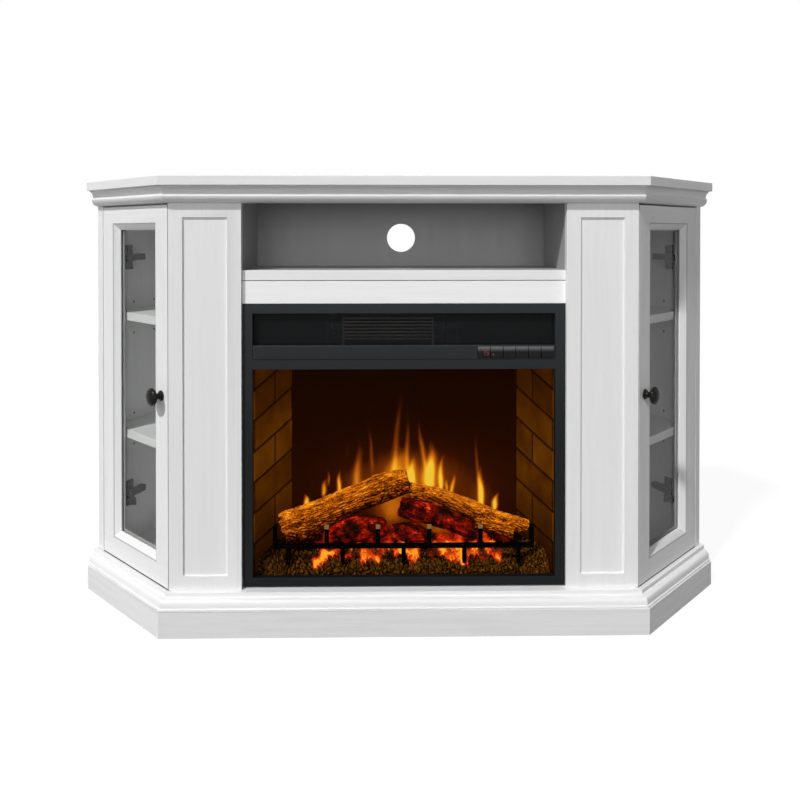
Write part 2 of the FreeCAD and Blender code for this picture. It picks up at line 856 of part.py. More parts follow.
def brick_panel():
    """Right firebox wall, splayed from the window to the flame screen."""
    front = Vector(opening_half, firebox_front, 0)
    rear = Vector(firebox_back_half, firebox_rear, 0)
    run = (rear - front).normalize()
    out = Vector(run.y, -run.x, 0)
    outer = front + out * brick_thickness
    plan = [front, rear, meet(outer, run, rear, rightward), meet(outer, run, front, rightward)]
    return prism(plan, room_floor, firebox_top)


def ember_bed():
    """Crowned tray of embers standing on two end walls, over the lamp strip."""
    front = firebox_front + snug
    depth = ember_rear - front
    shoulder = ember_top - ember_crown
    middle = front + depth / 2
    left = -ember_half_width
    crest = [Vector(left, front, shoulder), Vector(left, middle, ember_top)]
    crest.append(Vector(left, ember_rear, shoulder))
    edges = [Part.Arc(*crest).toShape()]
    low = [Vector(left, ember_rear, room_floor), Vector(left, front, room_floor)]
    edges += [Part.LineSegment(a, b).toShape() for a, b in zip(crest[2:] + low, low + crest[:1])]
    solid = Part.Face(Part.Wire(edges)).extrude(rightward * (ember_half_width + ember_half_width))
    inner = ember_half_width - ember_wall
    near = front - overrun
    far = ember_rear + overrun
    return solid.cut(box(-inner, inner, near, far, room_floor - overrun, shoulder - ember_wall))


def lamp_strip():
    """Lamp strip on the housing floor, under the embers."""
    middle = (firebox_front + ember_rear) / 2
    half = ember_half_width - ember_wall - ember_wall
    front = middle - lamp_width / 2
    return box(-half, half, front, front + lamp_width, room_floor, room_floor + lamp_height)


def fire_grate():
    """Bar across the front of the embers, with short posts above and legs below it."""
    front = firebox_front + grate_front_inset
    rear = front + grate_bar
    low = ember_top + grate_rise
    grate = box(-grate_half_width, grate_half_width, front, rear, low, low + grate_bar)
    pitch = (grate_half_width + grate_half_width - grate_bar) / (grate_post_count - 1)
    for index in range(grate_post_count):
        x0 = -grate_half_width + pitch * index
        grate = grate.fuse(box(x0, x0 + grate_bar, front, rear, low, low + grate_post_rise))
    for share in grate_leg_shares:
        x0 = grate_half_width * share - grate_bar / 2
        grate = grate.fuse(box(x0, x0 + grate_bar, front, rear, ember_top - ember_crown, low + grate_bar))
    return grate.cut(ember_bed()).removeSplitter()


def log_set():
    """Moulded set of tapered logs: two leaning on each other and three charred ones under them."""
    near = firebox_front + log_radius + grate_front_inset
    depth = ember_rear - log_radius - snug - near
    logs = []
    for start_shares, end_shares, radius_shares in log_shares:
        ends = []
        for x_share, y_share, z_share in (start_shares, end_shares):
            place = Vector(ember_half_width * x_share, depth * y_share, log_rise * z_share)
            ends.append(place + Vector(0, near, ember_top))
        run = ends[1] - ends[0]
        radii = [log_radius * share for share in radius_shares]
        logs.append(Part.makeCone(*radii, run.Length, ends[0], run))
    logs = logs[0].fuse(logs[1:]).cut(fire_grate()).cut(ember_bed())
    return max(logs.Solids, key=lambda solid: solid.Volume)


heater_left = heater_offset - heater_width / 2
heater_right = heater_offset + heater_width / 2
heater_front = ledge_rear + snug
heater_rear = heater_front + heater_depth
heater_mid_z = (air_top + ledge_top) / 2
blower_y = heater_rear + blower_gap + blower_radius
blower_z = heater_mid_z
blower_left = heater_offset - blower_length / 2
blower_right = heater_offset + blower_length / 2
rotor_y = (firebox_rear + screen_thickness + room_rear) / 2
rotor_z = room_floor + rotor_rise
rotor_left = -rotor_length / 2
rotor_right = rotor_length / 2


def heater_element():
    """Finned heater behind the mesh: two end frames joined by bars, on a foot."""
    low = heater_mid_z - heater_height / 2
    high = heater_mid_z + heater_height / 2
    body = box(heater_left, heater_left + heater_bar, heater_front, heater_rear, deck_z, high)
    body = body.fuse(box(heater_right - heater_bar, heater_right, heater_front, heater_rear, deck_z, high))
    step = (heater_height - heater_bar) / (heater_bar_count - 1)
    for index in range(heater_bar_count):
        z0 = low + step * index
        body = body.fuse(box(heater_left, heater_right, heater_front, heater_rear, z0, z0 + heater_bar))
    return body.removeSplitter()


def wheel(x0, x1, y, z, radius, root, blades):
    """Drum of flat blades from root outwards, between end discs on a shaft with two journals."""
    length = x1 - x0
    disc = bearing_thickness / 2
    journal = bearing_thickness + blower_gap
    body = Part.makeCylinder(shaft_radius, length + journal + journal, Vector(x0 - journal, y, z), rightward)
    for start in (x0, x1 - disc):
        body = body.fuse(Part.makeCylinder(radius, disc, Vector(start, y, z), rightward))
    for index in range(blades):
        blade = box(x0, x1, y - blade_thickness / 2, y + blade_thickness / 2, z + root, z + radius - snug)
        blade.rotate(Vector(x0, y, z), rightward, 360 * index / blades)
        body = body.fuse(blade)
    return body


def bearing(x1, y, z, half, foot_z):
    """Upright plate ending at x1, with a bore for a journal, standing on foot_z."""
    x0 = x1 - bearing_thickness
    plate = box(x0, x1, y - half, y + half, foot_z, z + half)
    start = Vector(x0 - overrun, y, z)
    length = bearing_thickness + overrun + overrun
    return plate.cut(Part.makeCylinder(shaft_radius + shaft_clearance, length, start, rightward))


def motor(x0, y, z, foot_z):
    """Round motor on a foot, with a bore for the driven journal."""
    body = Part.makeCylinder(motor_radius, motor_length, Vector(x0, y, z), rightward)
    foot = box(x0, x0 + motor_length, y - motor_radius / 2, y + motor_radius / 2, foot_z, z)
    start = Vector(x0 - overrun, y, z)
    depth = bearing_thickness + blower_gap + overrun
    bore = Part.makeCylinder(shaft_radius + shaft_clearance, depth, start, rightward)
    return body.fuse(foot).cut(bore)


def save_insert():
    """The electric fireplace, outside in."""
    save("insert_frame", insert_frame())
    save("insert_housing", insert_housing())
    save("power_inlet", power_inlet())
    half = opening_half + window_lap
    low = window_z - window_lap
    high = window_top + window_lap - snug
    save("firebox_glass", box(-half, half, frame_rear, frame_rear + window_thickness, low, high))
    save("air_mesh", air_mesh())
    save("control_panel", control_panel())
    save("control_board", control_board())
    for index in range(key_count):
        save("control_key_" + str(index + 1), control_key(index))
    save("flame_screen", box(-firebox_back_half - brick_thickness, firebox_back_half + brick_thickness,
                             firebox_rear, firebox_rear + screen_thickness, room_floor, firebox_top))
    brick = brick_panel()
    save("brick_panels", brick, mirrored(brick))
    save("ember_bed", ember_bed())
    save("ember_lamp_strip", lamp_strip())
    save("fire_grate", fire_grate())
    save("log_set", log_set())
    save("heater_element", heater_element())
    save("blower_wheel", wheel(blower_left, blower_right, blower_y, blower_z,
                               blower_radius, blower_radius * blade_root_share, blower_blade_count))
    save("blower_motor", motor(blower_right + blower_gap, blower_y, blower_z, deck_z))
    save("flame_rotor", wheel(rotor_left, rotor_right, rotor_y, rotor_z,
                              rotor_radius, shaft_radius / 2, rotor_fin_count))
    blower_support = bearing(blower_left - blower_gap, blower_y, blower_z, blower_radius / 2, deck_z)
    rotor_support = bearing(rotor_left - blower_gap, rotor_y, rotor_z, rotor_radius / 2, room_floor)
    save("shaft_bearings", blower_support, rotor_support)
    save("flame_motor", motor(rotor_right + blower_gap, rotor_y, rotor_z, room_floor))


os.makedirs("parts", exist_ok=True)
save_cabinet()
save_doors()
save_insert()
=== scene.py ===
"""Corner-fronted TV stand with an electric fire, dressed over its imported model."""
import itertools
import json
import math

import bmesh
import bpy
import numpy as np
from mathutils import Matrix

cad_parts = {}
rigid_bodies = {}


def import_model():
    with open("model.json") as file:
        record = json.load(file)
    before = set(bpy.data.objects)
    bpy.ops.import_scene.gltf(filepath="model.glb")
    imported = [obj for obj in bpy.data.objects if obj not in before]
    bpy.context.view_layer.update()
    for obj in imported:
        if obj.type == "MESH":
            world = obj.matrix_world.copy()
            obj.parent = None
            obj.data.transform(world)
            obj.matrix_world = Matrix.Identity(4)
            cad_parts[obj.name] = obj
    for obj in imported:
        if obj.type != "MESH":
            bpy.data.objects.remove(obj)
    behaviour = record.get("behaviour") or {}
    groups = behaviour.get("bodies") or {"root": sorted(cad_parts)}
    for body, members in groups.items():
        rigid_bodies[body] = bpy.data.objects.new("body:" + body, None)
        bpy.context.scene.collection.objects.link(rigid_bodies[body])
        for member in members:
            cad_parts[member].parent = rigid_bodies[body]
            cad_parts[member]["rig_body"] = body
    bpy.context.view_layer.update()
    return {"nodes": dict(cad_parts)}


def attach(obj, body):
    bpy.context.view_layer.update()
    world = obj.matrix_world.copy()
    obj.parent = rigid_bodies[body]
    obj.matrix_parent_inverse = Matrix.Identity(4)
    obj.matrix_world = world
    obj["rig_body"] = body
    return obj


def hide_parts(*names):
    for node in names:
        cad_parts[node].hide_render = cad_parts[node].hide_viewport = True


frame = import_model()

nodes = frame["nodes"]
MM = 0.001
DIAGONAL = math.sqrt(0.5)


class Shade:
    """A socket in a finish's node tree; arithmetic on it adds Math nodes."""

    def __init__(self, tree, socket=None):
        self.tree = tree
        self.socket = socket

    def node(self, kind, settings=None, values=None, out=0):
        """Adds a node: its settings first, then the values or links of its sockets. A colour
        is three numbers."""
        made = self.tree.nodes.new("ShaderNode" + kind)
        for key, value in (settings or {}).items():
            if key == "stops":
                ramp = made.color_ramp
                while len(ramp.elements) < len(value):
                    ramp.elements.new(1.0)
                for element, (place, colour) in zip(ramp.elements, value):
                    element.position = place
                    element.color = (*colour, 1.0)
            else:
                setattr(made, key, value)
        for key, value in (values or {}).items():
            if isinstance(value, Shade):
                self.tree.links.new(value.socket, made.inputs[key])
            else:
                socket = made.inputs[key]
                socket.default_value = (*value, 1.0) if socket.type == "RGBA" else value
        return Shade(self.tree, made.outputs[out] if made.outputs else None)

    def math(self, operation, *others):
        return self.node("Math", {"operation": operation}, dict(enumerate((self, *others))))

    def __add__(self, other):
        return self.math("ADD", other)

    def __sub__(self, other):
        return self.math("SUBTRACT", other)

    def __mul__(self, other):
        return self.math("MULTIPLY", other)

    def __rsub__(self, other):
        return self.node("Math", {"operation": "SUBTRACT"}, {0: other, 1: self})

    __radd__ = __add__
    __rmul__ = __mul__

    def above(self, level):
        return self.math("GREATER_THAN", level)

    def between(self, low, high):
        return self.above(low) * (1 - self.above(high))

    def fade(self, low, high):
        """0 below low and 1 above high, with a smooth step between."""
        return self.node("MapRange", {"interpolation_type": "SMOOTHSTEP"}, {0: self, 1: low, 2: high})

    def mix(self, first, second):
        """A colour between two colours, by this value."""
        settings = {"data_type": "RGBA"}
        return self.node("Mix", settings, {0: self, 6: first, 7: second}, out=2)

    def spot(self):
        """The object coordinates, as one vector."""
        return self.node("TexCoord", out=3)

    def place(self):
        """The object coordinates, as x, y and z."""
        spot = self.spot()
        return [spot.node("SeparateXYZ", None, {0: spot}, out=axis) for axis in range(3)]

    def vector(self, x, y, z):
        return self.node("CombineXYZ", None, {0: x, 1: y, 2: z})

    def facing_up(self):
        """1 on level tops, 0 on upright faces and -1 underneath."""
        return self.node("SeparateXYZ", None, {0: self.node("NewGeometry", out=1)}, out=2)

    def noise(self, vector, scale, detail=2.0, rough=0.5):
        values = {"Vector": vector, "Scale": scale, "Detail": detail, "Roughness": rough}
        return self.node("TexNoise", None, values)

    def bump(self, height, strength, depth):
        return self.node("Bump", None, {"Height": height, "Strength": strength, "Distance": depth})


def new_finish(name):
    material = bpy.data.materials.new(name)
    material.use_nodes = True
    material.node_tree.nodes.clear()
    return material, Shade(material.node_tree)


def end_finish(start, shader):
    start.node("OutputMaterial", None, {"Surface": shader})


def coated(name, look):
    """A finish of one Principled shader, whose socket values look gives."""
    material, start = new_finish(name)
    end_finish(start, start.node("BsdfPrincipled", None, look(start)))
    return material


def surface(base, rough, relief=None, gloss=0.5, metal=0.0, light=None, strength=1.0):
    """Values for a Principled shader; a relief is a Bump and a light is what it gives off."""
    values = {"Base Color": base, "Roughness": rough, "Specular IOR Level": gloss, "Metallic": metal}
    if relief:
        values["Normal"] = relief
    if light:
        values.update({"Emission Color": light, "Emission Strength": strength})
    return values


def grey(level):
    return (level, level, level)


def link_object(name, data):
    made = bpy.data.objects.new(name, data)
    bpy.context.scene.collection.objects.link(made)
    return made


# Camera, solved from the stand's corners in an 800 by 800 picture
FRAME_PX = 800
FOCAL_PX = 769.0
AXIS_PX = (387.2, 239.5)
SENSOR_MM = 36.0
CAMERA_PLACE = (-0.0515, -1.5336, 0.7102)
CAMERA_TILT = -0.51
CAMERA_TURN = -0.86

lens = bpy.data.cameras.new("camera")
lens.sensor_width = SENSOR_MM
lens.lens = FOCAL_PX / FRAME_PX * SENSOR_MM
lens.shift_x = 0.5 - AXIS_PX[0] / FRAME_PX
lens.shift_y = AXIS_PX[1] / FRAME_PX - 0.5
lens.clip_start = 0.01
camera = link_object("camera", lens)
camera.location = CAMERA_PLACE
camera.rotation_euler = (math.radians(90 + CAMERA_TILT), 0.0, math.radians(CAMERA_TURN))
bpy.context.scene.camera = camera
bpy.context.scene.view_settings.view_transform = "Standard"


# Floor, world and lamps
FLOOR_REACH = 30.0
FLOOR_BOUNCE = 0.16
FLOOR_SEEN = 0.975
FLOOR_WHITE_SHARE = 0.90
FLOOR_GLOW = 1.045
AMBIENT = (0.10, 0.025)


def seen_directly(start):
    """1 for rays that a viewer, a mirror or a pane sees straight on."""
    rays = [start.node("LightPath", out=index) for index in (0, 3, 6)]
    return rays[0].math("MAXIMUM", rays[1]).math("MAXIMUM", rays[2])


def lay_floor():
    """One square on z = 0, pale, that keeps the stand's shadow."""
    mesh = bpy.data.meshes.new("floor")
    corners = np.array([(-1, -1, 0), (1, -1, 0), (1, 1, 0), (-1, 1, 0)]) * FLOOR_REACH
    mesh.from_pydata(corners.tolist(), [], [(0, 1, 2, 3)])
    material, start = new_finish("pale_floor")
    speck = start.noise(start.spot(), 90.0)
    seen = seen_directly(start)
    paint = (seen * (speck * 0.04 + 0.96)).mix(grey(FLOOR_BOUNCE), grey(FLOOR_SEEN))
    matt = start.node("BsdfDiffuse", None, {"Color": paint})
    white = start.node("Emission", None, {"Color": grey(1.0), "Strength": FLOOR_GLOW})
    share = seen * FLOOR_WHITE_SHARE
    end_finish(start, start.node("MixShader", None, {0: share, 1: matt, 2: white}))
    mesh.materials.append(material)
    link_object("floor", mesh)


def light_world():
    """White behind the stand; a soft fill that falls off from left to right."""
    world = bpy.data.worlds.new("studio")
    bpy.context.scene.world = world
    world.use_nodes = True
    world.node_tree.nodes.clear()
    start = Shade(world.node_tree)
    direction = start.node("TexCoord", out=0)
    across = start.node("SeparateXYZ", None, {0: direction})
    fill = across.fade(-0.7, 0.8).mix(grey(AMBIENT[0]), grey(AMBIENT[1]))
    soft = start.node("Background", None, {"Color": fill, "Strength": 1.0})
    white = start.node("Background", None, {"Color": grey(1.0), "Strength": 1.0})
    both = start.node("MixShader", None, {0: seen_directly(start), 1: soft, 2: white})
    start.node("OutputWorld", None, {"Surface": both})


def add_sun(name, azimuth, elevation, power, spread):
    """A far lamp at an azimuth left of the front and a height, in degrees."""
    sun = bpy.data.lights.new(name, "SUN")
    sun.energy = power
    sun.angle = math.radians(spread)
    made = link_object(name, sun)
    made.rotation_euler = (math.radians(90 - elevation), 0.0, math.radians(-azimuth))


lay_floor()
light_world()
add_sun("key", 37.5, 47.0, 2.58, 4.0)
add_sun("left_fill", 42.0, 20.0, 0.34, 60.0)
add_sun("front_fill", 0.0, 6.0, 0.84, 40.0)


# Finishes of the boards
FOIL_PALE = 0.86
FOIL_STREAK = 0.825
MITRE_X = 0.432
MITRE_Y = -0.190
MITRE_SLOPE = math.tan(math.radians(22.5))
FACE_CORNER = (420.816, -163.0)
SIDE_RUN = (-68.0, 186.0)
# Grey of the painted shade in door gaps, the niche seam and shelf-pin holes
SHADE_GREY = 0.10
RAIL_LOW = 0.122
RAIL_HIGH = 0.718
# Painted shade inside the niche: grey of its sides and floor, then of its back
NICHE_SHADE = (0.40, 0.305)
SEAM = (0.6237, 0.6252)
GAP_EDGE = 0.0016
GAP_FOOT = 0.0742
GAP_DEPTH = -0.004
BEAD_LENGTHS = (0.0435, 0.2060)
BEAD_HEIGHTS = (0.1120, 0.7275)
BEAD_HALF = 0.0011
BEAD_SHADE_SHARE = 0.55
SIDE_TURN = math.atan2(-SIDE_RUN[0], SIDE_RUN[1])
HOLE_DEPTHS = (0.5472, 0.5625)
HOLE_BAND = (0.065, 0.155)
NICHE_HALF = 0.2912
NICHE_FRONT = -0.1535
NICHE_REAR = 0.0262
NICHE_LOW = 0.6422
NICHE_HIGH = 0.7935


def grain_upright(start):
    x, y, z = start.place()
    return z, x, y


def grain_lengthwise(start):
    x, y, z = start.place()
    return x, y, z


def grain_mitred(start):
    """Runs along x on the front and along the face on each side of the mitres."""
    x, y, z = start.place()
    reach = x.math("ABSOLUTE")
    side = (reach - MITRE_X + (y - MITRE_Y) * MITRE_SLOPE).above(0.0)
    along = x * (1 - side) + (reach + y) * DIAGONAL * side
    across = y * (1 - side) + (reach - y) * DIAGONAL * side
    return along, across, z


def grain_slab(start):
    """Along x on the slab's top and underside, and along each of its edges."""
    x, y, z = start.place()
    along, across, _ = grain_mitred(start)
    level = start.facing_up().math("ABSOLUTE").above(0.5)
    return x * level + along * (1 - level), y * level + across * (1 - level), z


def grain_door(start):
    """Upright on the stiles, and along the face on the two rails."""
    x, y, z = start.place()
    reach = x.math("ABSOLUTE")
    along = (reach + y) * DIAGONAL
    rail = 1 - z.between(RAIL_LOW, RAIL_HIGH)
    return z * (1 - rail) + along * rail, along * (1 - rail) + z * rail, (reach - y) * DIAGONAL


def in_niche(start):
    """1 on the faces that line the open niche, which get painted shade."""
    x, y, z = start.place()
    across = (1 - x.math("ABSOLUTE").above(NICHE_HALF)) * y.between(NICHE_FRONT, NICHE_REAR)
    return across * z.between(NICHE_LOW, NICHE_HIGH)


def seam_shade(start):
    """1 on the joint between the niche shelf's edge and the header, where shade is painted in."""
    return start.place()[2].between(*SEAM)


def hole_shade(start):
    """1 inside the shelf-pin holes of the outer uprights, where shade is painted in."""
    x, y, _ = start.place()
    depth = x.math("ABSOLUTE") * math.cos(SIDE_TURN) + y * math.sin(SIDE_TURN)
    return depth.between(*HOLE_DEPTHS) * y.between(*HOLE_BAND)


def door_gap_shade(start):
    """1 on the first millimetres of a door's free edge and foot, and of what they face, and a
    share on the fine step round the bevelled opening: there shade is painted in."""
    x, y, z = start.place()
    reach = x.math("ABSOLUTE") - FACE_CORNER[0] * MM
    along = (reach + y - FACE_CORNER[1] * MM) * DIAGONAL
    out = (reach - y + FACE_CORNER[1] * MM) * DIAGONAL
    edge = 1 - along.above(GAP_EDGE) * z.above(GAP_FOOT)
    rings = []
    for half in (BEAD_HALF, -BEAD_HALF):
        across = along.between(BEAD_LENGTHS[0] - half, BEAD_LENGTHS[1] + half)
        rings.append(across * z.between(BEAD_HEIGHTS[0] - half, BEAD_HEIGHTS[1] + half))
    # Painted shade along the fine step round the bevelled opening
    step = (rings[0] - rings[1]) * BEAD_SHADE_SHARE
    return (edge + step) * out.above(GAP_DEPTH)


def foil(name, grain, pale=FOIL_PALE, streak=FOIL_STREAK, niche_shaded=False, dark=None):
    """White wood-grain foil: long soft streaks, fine pores pressed along the grain; with the niche flag a
    board gets painted shade on the faces inside the niche, deepest on the back, and dark paints shade into
    gaps, the seam and holes."""
    def look(start):
        along, across, through = grain(start)
        wander = start.noise(start.vector(along * 4.0, across * 9.0, through * 9.0), 1.0) * 0.02
        across = across + wander
        streaks = start.noise(start.vector(along * 5.0, across * 110.0, through * 110.0), 1.0, 5.0, 0.62)
        pores = start.noise(start.vector(along * 28.0, across * 900.0, through * 900.0), 1.0, 3.0, 0.6)
        shade = streaks.fade(0.32, 0.62) * 0.8 + pores.fade(0.36, 0.58) * 0.2
        pressed = pores.fade(0.30, 0.55) * 0.7 + streaks.fade(0.25, 0.5) * 0.3
        colour = shade.mix(grey(streak), grey(pale))
        if niche_shaded:
            # Painted shade: the niche's back is darker than its sides and floor
            back = start.place()[1].fade(NICHE_REAR - 0.004, NICHE_REAR - 0.002)
            niche_shade_tone = back.mix(grey(NICHE_SHADE[0]), grey(NICHE_SHADE[1]))
            colour = in_niche(start).mix(colour, niche_shade_tone)
        # Painted shade in gaps, the seam and holes
        if dark:
            colour = dark(start).mix(colour, grey(SHADE_GREY))
        return surface(colour, 0.5 - shade * 0.1, start.bump(pressed, 0.25, 0.0003))
    return coated(name, look)


foil_upright = foil("white_foil_upright", grain_upright)
# Foils given a dark mask carry painted shade in gaps, holes or the seam
foil_side = foil("white_foil_side", grain_upright, dark=hole_shade)
foil_lengthwise = foil("white_foil_lengthwise", grain_lengthwise)
foil_mitred = foil("white_foil_mitred", grain_mitred)
foil_door = foil("white_foil_door", grain_door, dark=door_gap_shade)
foil_floor = foil("white_foil_floor", grain_lengthwise, dark=door_gap_shade)
foil_plinth = foil("white_foil_plinth", grain_mitred, 0.81, 0.75)
foil_slab = foil("white_foil_slab", grain_slab)
foil_header = foil("white_foil_header", grain_lengthwise, 0.98, 0.94, dark=seam_shade)
# These boards carry painted shade on their faces inside the niche
foil_ledge = foil("white_foil_ledge", grain_lengthwise, 0.90, 0.86, True, seam_shade)
foil_niche = foil("white_foil_niche", grain_upright, niche_shaded=True)
hardboard = foil("white_hardboard", grain_upright, 0.80, 0.74)


# Finishes of metals, plastics and glass
def mottled(name, low, high, scale, rough, bump=0.05, depth=0.0002, gloss=0.5):
    """Two near colours mottled by noise, with the same noise as a fine relief."""
    def look(start):
        spots = start.noise(start.spot(), scale, 4.0, 0.6)
        base = spots.fade(0.3, 0.7).mix(low, high)
        return surface(base, spots * (rough[1] - rough[0]) + rough[0], start.bump(spots, bump, depth), gloss)
    return coated(name, look)


def brushed(name, low, high, rough, gloss=0.5, metal=1.0):
    """Metal with fine lines along x and y, crossed by faint mottling."""
    def look(start):
        x, y, z = start.place()
        lines = start.noise(start.vector(x * 40.0, y * 40.0, z * 2400.0), 1.0, 3.0, 0.6)
        cloud = start.noise(start.spot(), 60.0)
        tone = lines * 0.6 + cloud * 0.4
        base = tone.fade(0.3, 0.7).mix(low, high)
        return surface(base, tone * 0.2 + rough, start.bump(lines, 0.08, 0.0002), gloss, metal)
    return coated(name, look)


INSIDE_HALF = 0.2832
INSIDE_REAR = 0.0342
INSIDE_TOP = 0.5792


def spangled(start):
    """Galvanised sheet: angular zinc crystals, each with its own tone and sheen; the
    inner faces have a matt black coat."""
    x, y, z = start.place()
    spot = start.spot()
    crystal = start.node("TexVoronoi", None, {"Vector": spot, "Scale": 110.0}, out=1)
    tone = start.node("SeparateXYZ", None, {0: crystal})
    film = start.noise(spot, 25.0, 4.0)
    inside = (1 - x.math("ABSOLUTE").above(INSIDE_HALF)) * (1 - y.above(INSIDE_REAR))
    inside = inside * (1 - z.above(INSIDE_TOP))
    zinc = (tone * 0.5 + film * 0.5).mix((0.42, 0.43, 0.45), (0.60, 0.61, 0.63))
    base = inside.mix(zinc, (0.006, 0.006, 0.007))
    return surface(base, tone * 0.2 + 0.32 + inside * 0.4, gloss=0.2, metal=0.9 - inside * 0.9)


def printed_board(start):
    """Circuit board: lacquer green, with thin copper tracks in a grid of runs."""
    cell = start.node("TexVoronoi", {"distance": "MANHATTAN"}, {"Vector": start.spot(), "Scale": 240.0})
    track = cell.between(0.42, 0.5)
    return surface(track.mix((0.012, 0.10, 0.035), (0.06, 0.28, 0.10)), 0.42 - track * 0.12)


def pane(name, tint, gloss):
    """Clear glass: light passes straight on, and a share by angle is mirrored."""
    material, start = new_finish(name)
    film = start.noise(start.spot(), 14.0, 3.0)
    clear = start.node("BsdfTransparent", None, {"Color": tint})
    mirror = start.node("BsdfGlossy", None, {"Color": grey(1.0), "Roughness": 0.03})
    facing = start.node("Fresnel", None, {"IOR": 1.45})
    share = facing * gloss * (film * 0.3 + 0.85)
    end_finish(start, start.node("MixShader", None, {0: share, 1: clear, 2: mirror}))
    return material


LEDGE_EDGES = (0.4836, 0.5078)
EDGE_WIDE = 0.0009
LEDGE_FACE = -0.1555
KEY_HIGHLIGHT_BAND = (0.4955, 0.5055)


def powder_look(start):
    """Black powder coat with a fine orange-peel skin, painted light that makes it a little
    paler high up, and painted highlights in grey along the ledge's two front edges."""
    _, y, z = start.place()
    peel = start.noise(start.spot(), 900.0, 4.0, 0.6)
    # Painted light: paler higher up
    tone = peel * 0.25 + z.fade(0.30, 0.60) * 0.75
    coat = tone.mix((0.0018, 0.0023, 0.0027), (0.0215, 0.025, 0.0275))
    # Painted highlights along the ledge's two front edges
    edge_highlight = z.between(LEDGE_EDGES[0] - EDGE_WIDE, LEDGE_EDGES[0] + EDGE_WIDE)
    edge_highlight = edge_highlight + z.between(LEDGE_EDGES[1] - EDGE_WIDE, LEDGE_EDGES[1] + EDGE_WIDE)
    edge_highlight = edge_highlight * (1 - y.above(LEDGE_FACE))
    base = edge_highlight.mix(coat, (0.046, 0.049, 0.051))
    return surface(base, peel * 0.13 + 0.42, start.bump(peel, 0.12, 0.0002), 0.14)


# Painted shade: the nickel parts inside the cabinets are coloured near black for the shade they sit in
nickel_in_shade = brushed("nickel_plate_painted_shade", (0.0025, 0.0022, 0.0020), (0.0115, 0.0105, 0.0095), 0.3, 0.06, 0.10)
fin_metal = brushed("heater_alloy", (0.060, 0.050, 0.042), (0.13, 0.11, 0.092), 0.4)
galvanised = coated("galvanised_sheet", spangled)
board_green = coated("circuit_board", printed_board)
cabinet_glass = pane("cabinet_glass", (0.93, 0.936, 0.93), 0.06)
fire_glass = pane("firebox_glass", (0.93, 0.92, 0.90), 0.01)
bronze = mottled("dark_bronze", (0.004, 0.0038, 0.0035), (0.011, 0.0098, 0.0085), 260.0, (0.2, 0.34),
                 0.03, 0.0001, 0.12)
powder = coated("black_powder_coat", powder_look)
mesh_black = mottled("black_mesh", (0.004, 0.0045, 0.005), (0.010, 0.011, 0.012), 700.0, (0.45, 0.6),
                     gloss=0.12)
plastic_black = mottled("black_plastic", (0.012, 0.0135, 0.015), (0.018, 0.020, 0.022), 1200.0,
                        (0.36, 0.48), 0.1, 0.0001)
plastic_white = mottled("white_plastic", (0.50, 0.50, 0.49), (0.58, 0.58, 0.57), 500.0, (0.36, 0.46))
motor_grey = mottled("motor_case", (0.012, 0.012, 0.0125), (0.022, 0.022, 0.0225), 350.0, (0.4, 0.55),
                     gloss=0.15)


def key_look(start):
    """Dark key, with a painted highlight: a paler band along its sloped top that fades downwards."""
    speck = start.noise(start.spot(), 700.0, 3.0, 0.6)
    # Painted highlight along the key's sloped top
    band = start.place()[2].fade(*KEY_HIGHLIGHT_BAND) * (speck * 0.5 + 0.75)
    base = band.mix((0.0035, 0.0037, 0.0039), (0.15, 0.155, 0.155))
    return surface(base, speck * 0.12 + 0.34, start.bump(speck, 0.08, 0.0001), 0.12)


key_black = coated("key_plastic", key_look)


def amber_look(start):
    """Amber lens over a row of small lamps, brightest at each lamp."""
    lamps = (start.place()[0] * 210.0).math("SINE").math("ABSOLUTE")
    light = lamps.mix((0.10, 0.012, 0.001), (0.80, 0.22, 0.02))
    return surface(lamps.mix((0.20, 0.06, 0.01), (0.45, 0.16, 0.02)), 0.4 - lamps * 0.1, light=light)


amber = coated("amber_lens", amber_look)


# Boards and sheet parts with eased edges
SMOOTH_ANGLE = math.radians(32)
EASE_SEGMENTS = 2
MERGE = 1e-6
FLAT = math.radians(0.3)


def weld(mesh, flat=False):
    """Merges points that meet; flat also joins the triangles of each plane."""
    work = bmesh.new()
    work.from_mesh(mesh)
    bmesh.ops.remove_doubles(work, verts=work.verts, dist=MERGE)
    if flat:
        bmesh.ops.dissolve_limit(work, angle_limit=FLAT, verts=work.verts, edges=work.edges)
    else:
        bmesh.ops.recalc_face_normals(work, faces=work.faces)
    work.to_mesh(mesh)
    work.free()
    mesh.polygons.foreach_set("use_smooth", np.ones(len(mesh.polygons), bool))
    mesh.set_sharp_from_angle(angle=SMOOTH_ANGLE)
    mesh.update()


def take_on(piece, body, slot, finish, *replaced):
    """Gives a piece its finish, its body and the nodes it stands for; the slot is not used."""
    piece.data.materials.clear()
    piece.data.materials.append(finish)
    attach(piece, body)
    if replaced:
        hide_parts(*replaced)


def ease(name, width, finish, slot):
    """A node's own faces, welded and shaded smooth, with a Bevel on its sharp edges."""
    mesh = nodes[name].data.copy()
    weld(mesh, flat=True)
    piece = link_object(name + "_eased", mesh)
    bevel = piece.modifiers.new("eased_edges", "BEVEL")
    bevel.width = width * MM
    bevel.segments = EASE_SEGMENTS
    bevel.limit_method = "ANGLE"
    bevel.angle_limit = SMOOTH_ANGLE
    bevel.use_clamp_overlap = True
    bevel.harden_normals = True
    take_on(piece, nodes[name]["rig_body"], slot, finish, name)


def paint(name, finish):
    """A node that stays as it is, with a finish on its own slots."""
    slots = nodes[name].data.materials
    for index in range(len(slots)):
        slots[index] = finish
    if not len(slots):
        slots.append(finish)


def both(name):
    return ["left_" + name, "right_" + name]


POST_TOPS = (0.1655, 0.167)
POST_REACH = 0.2


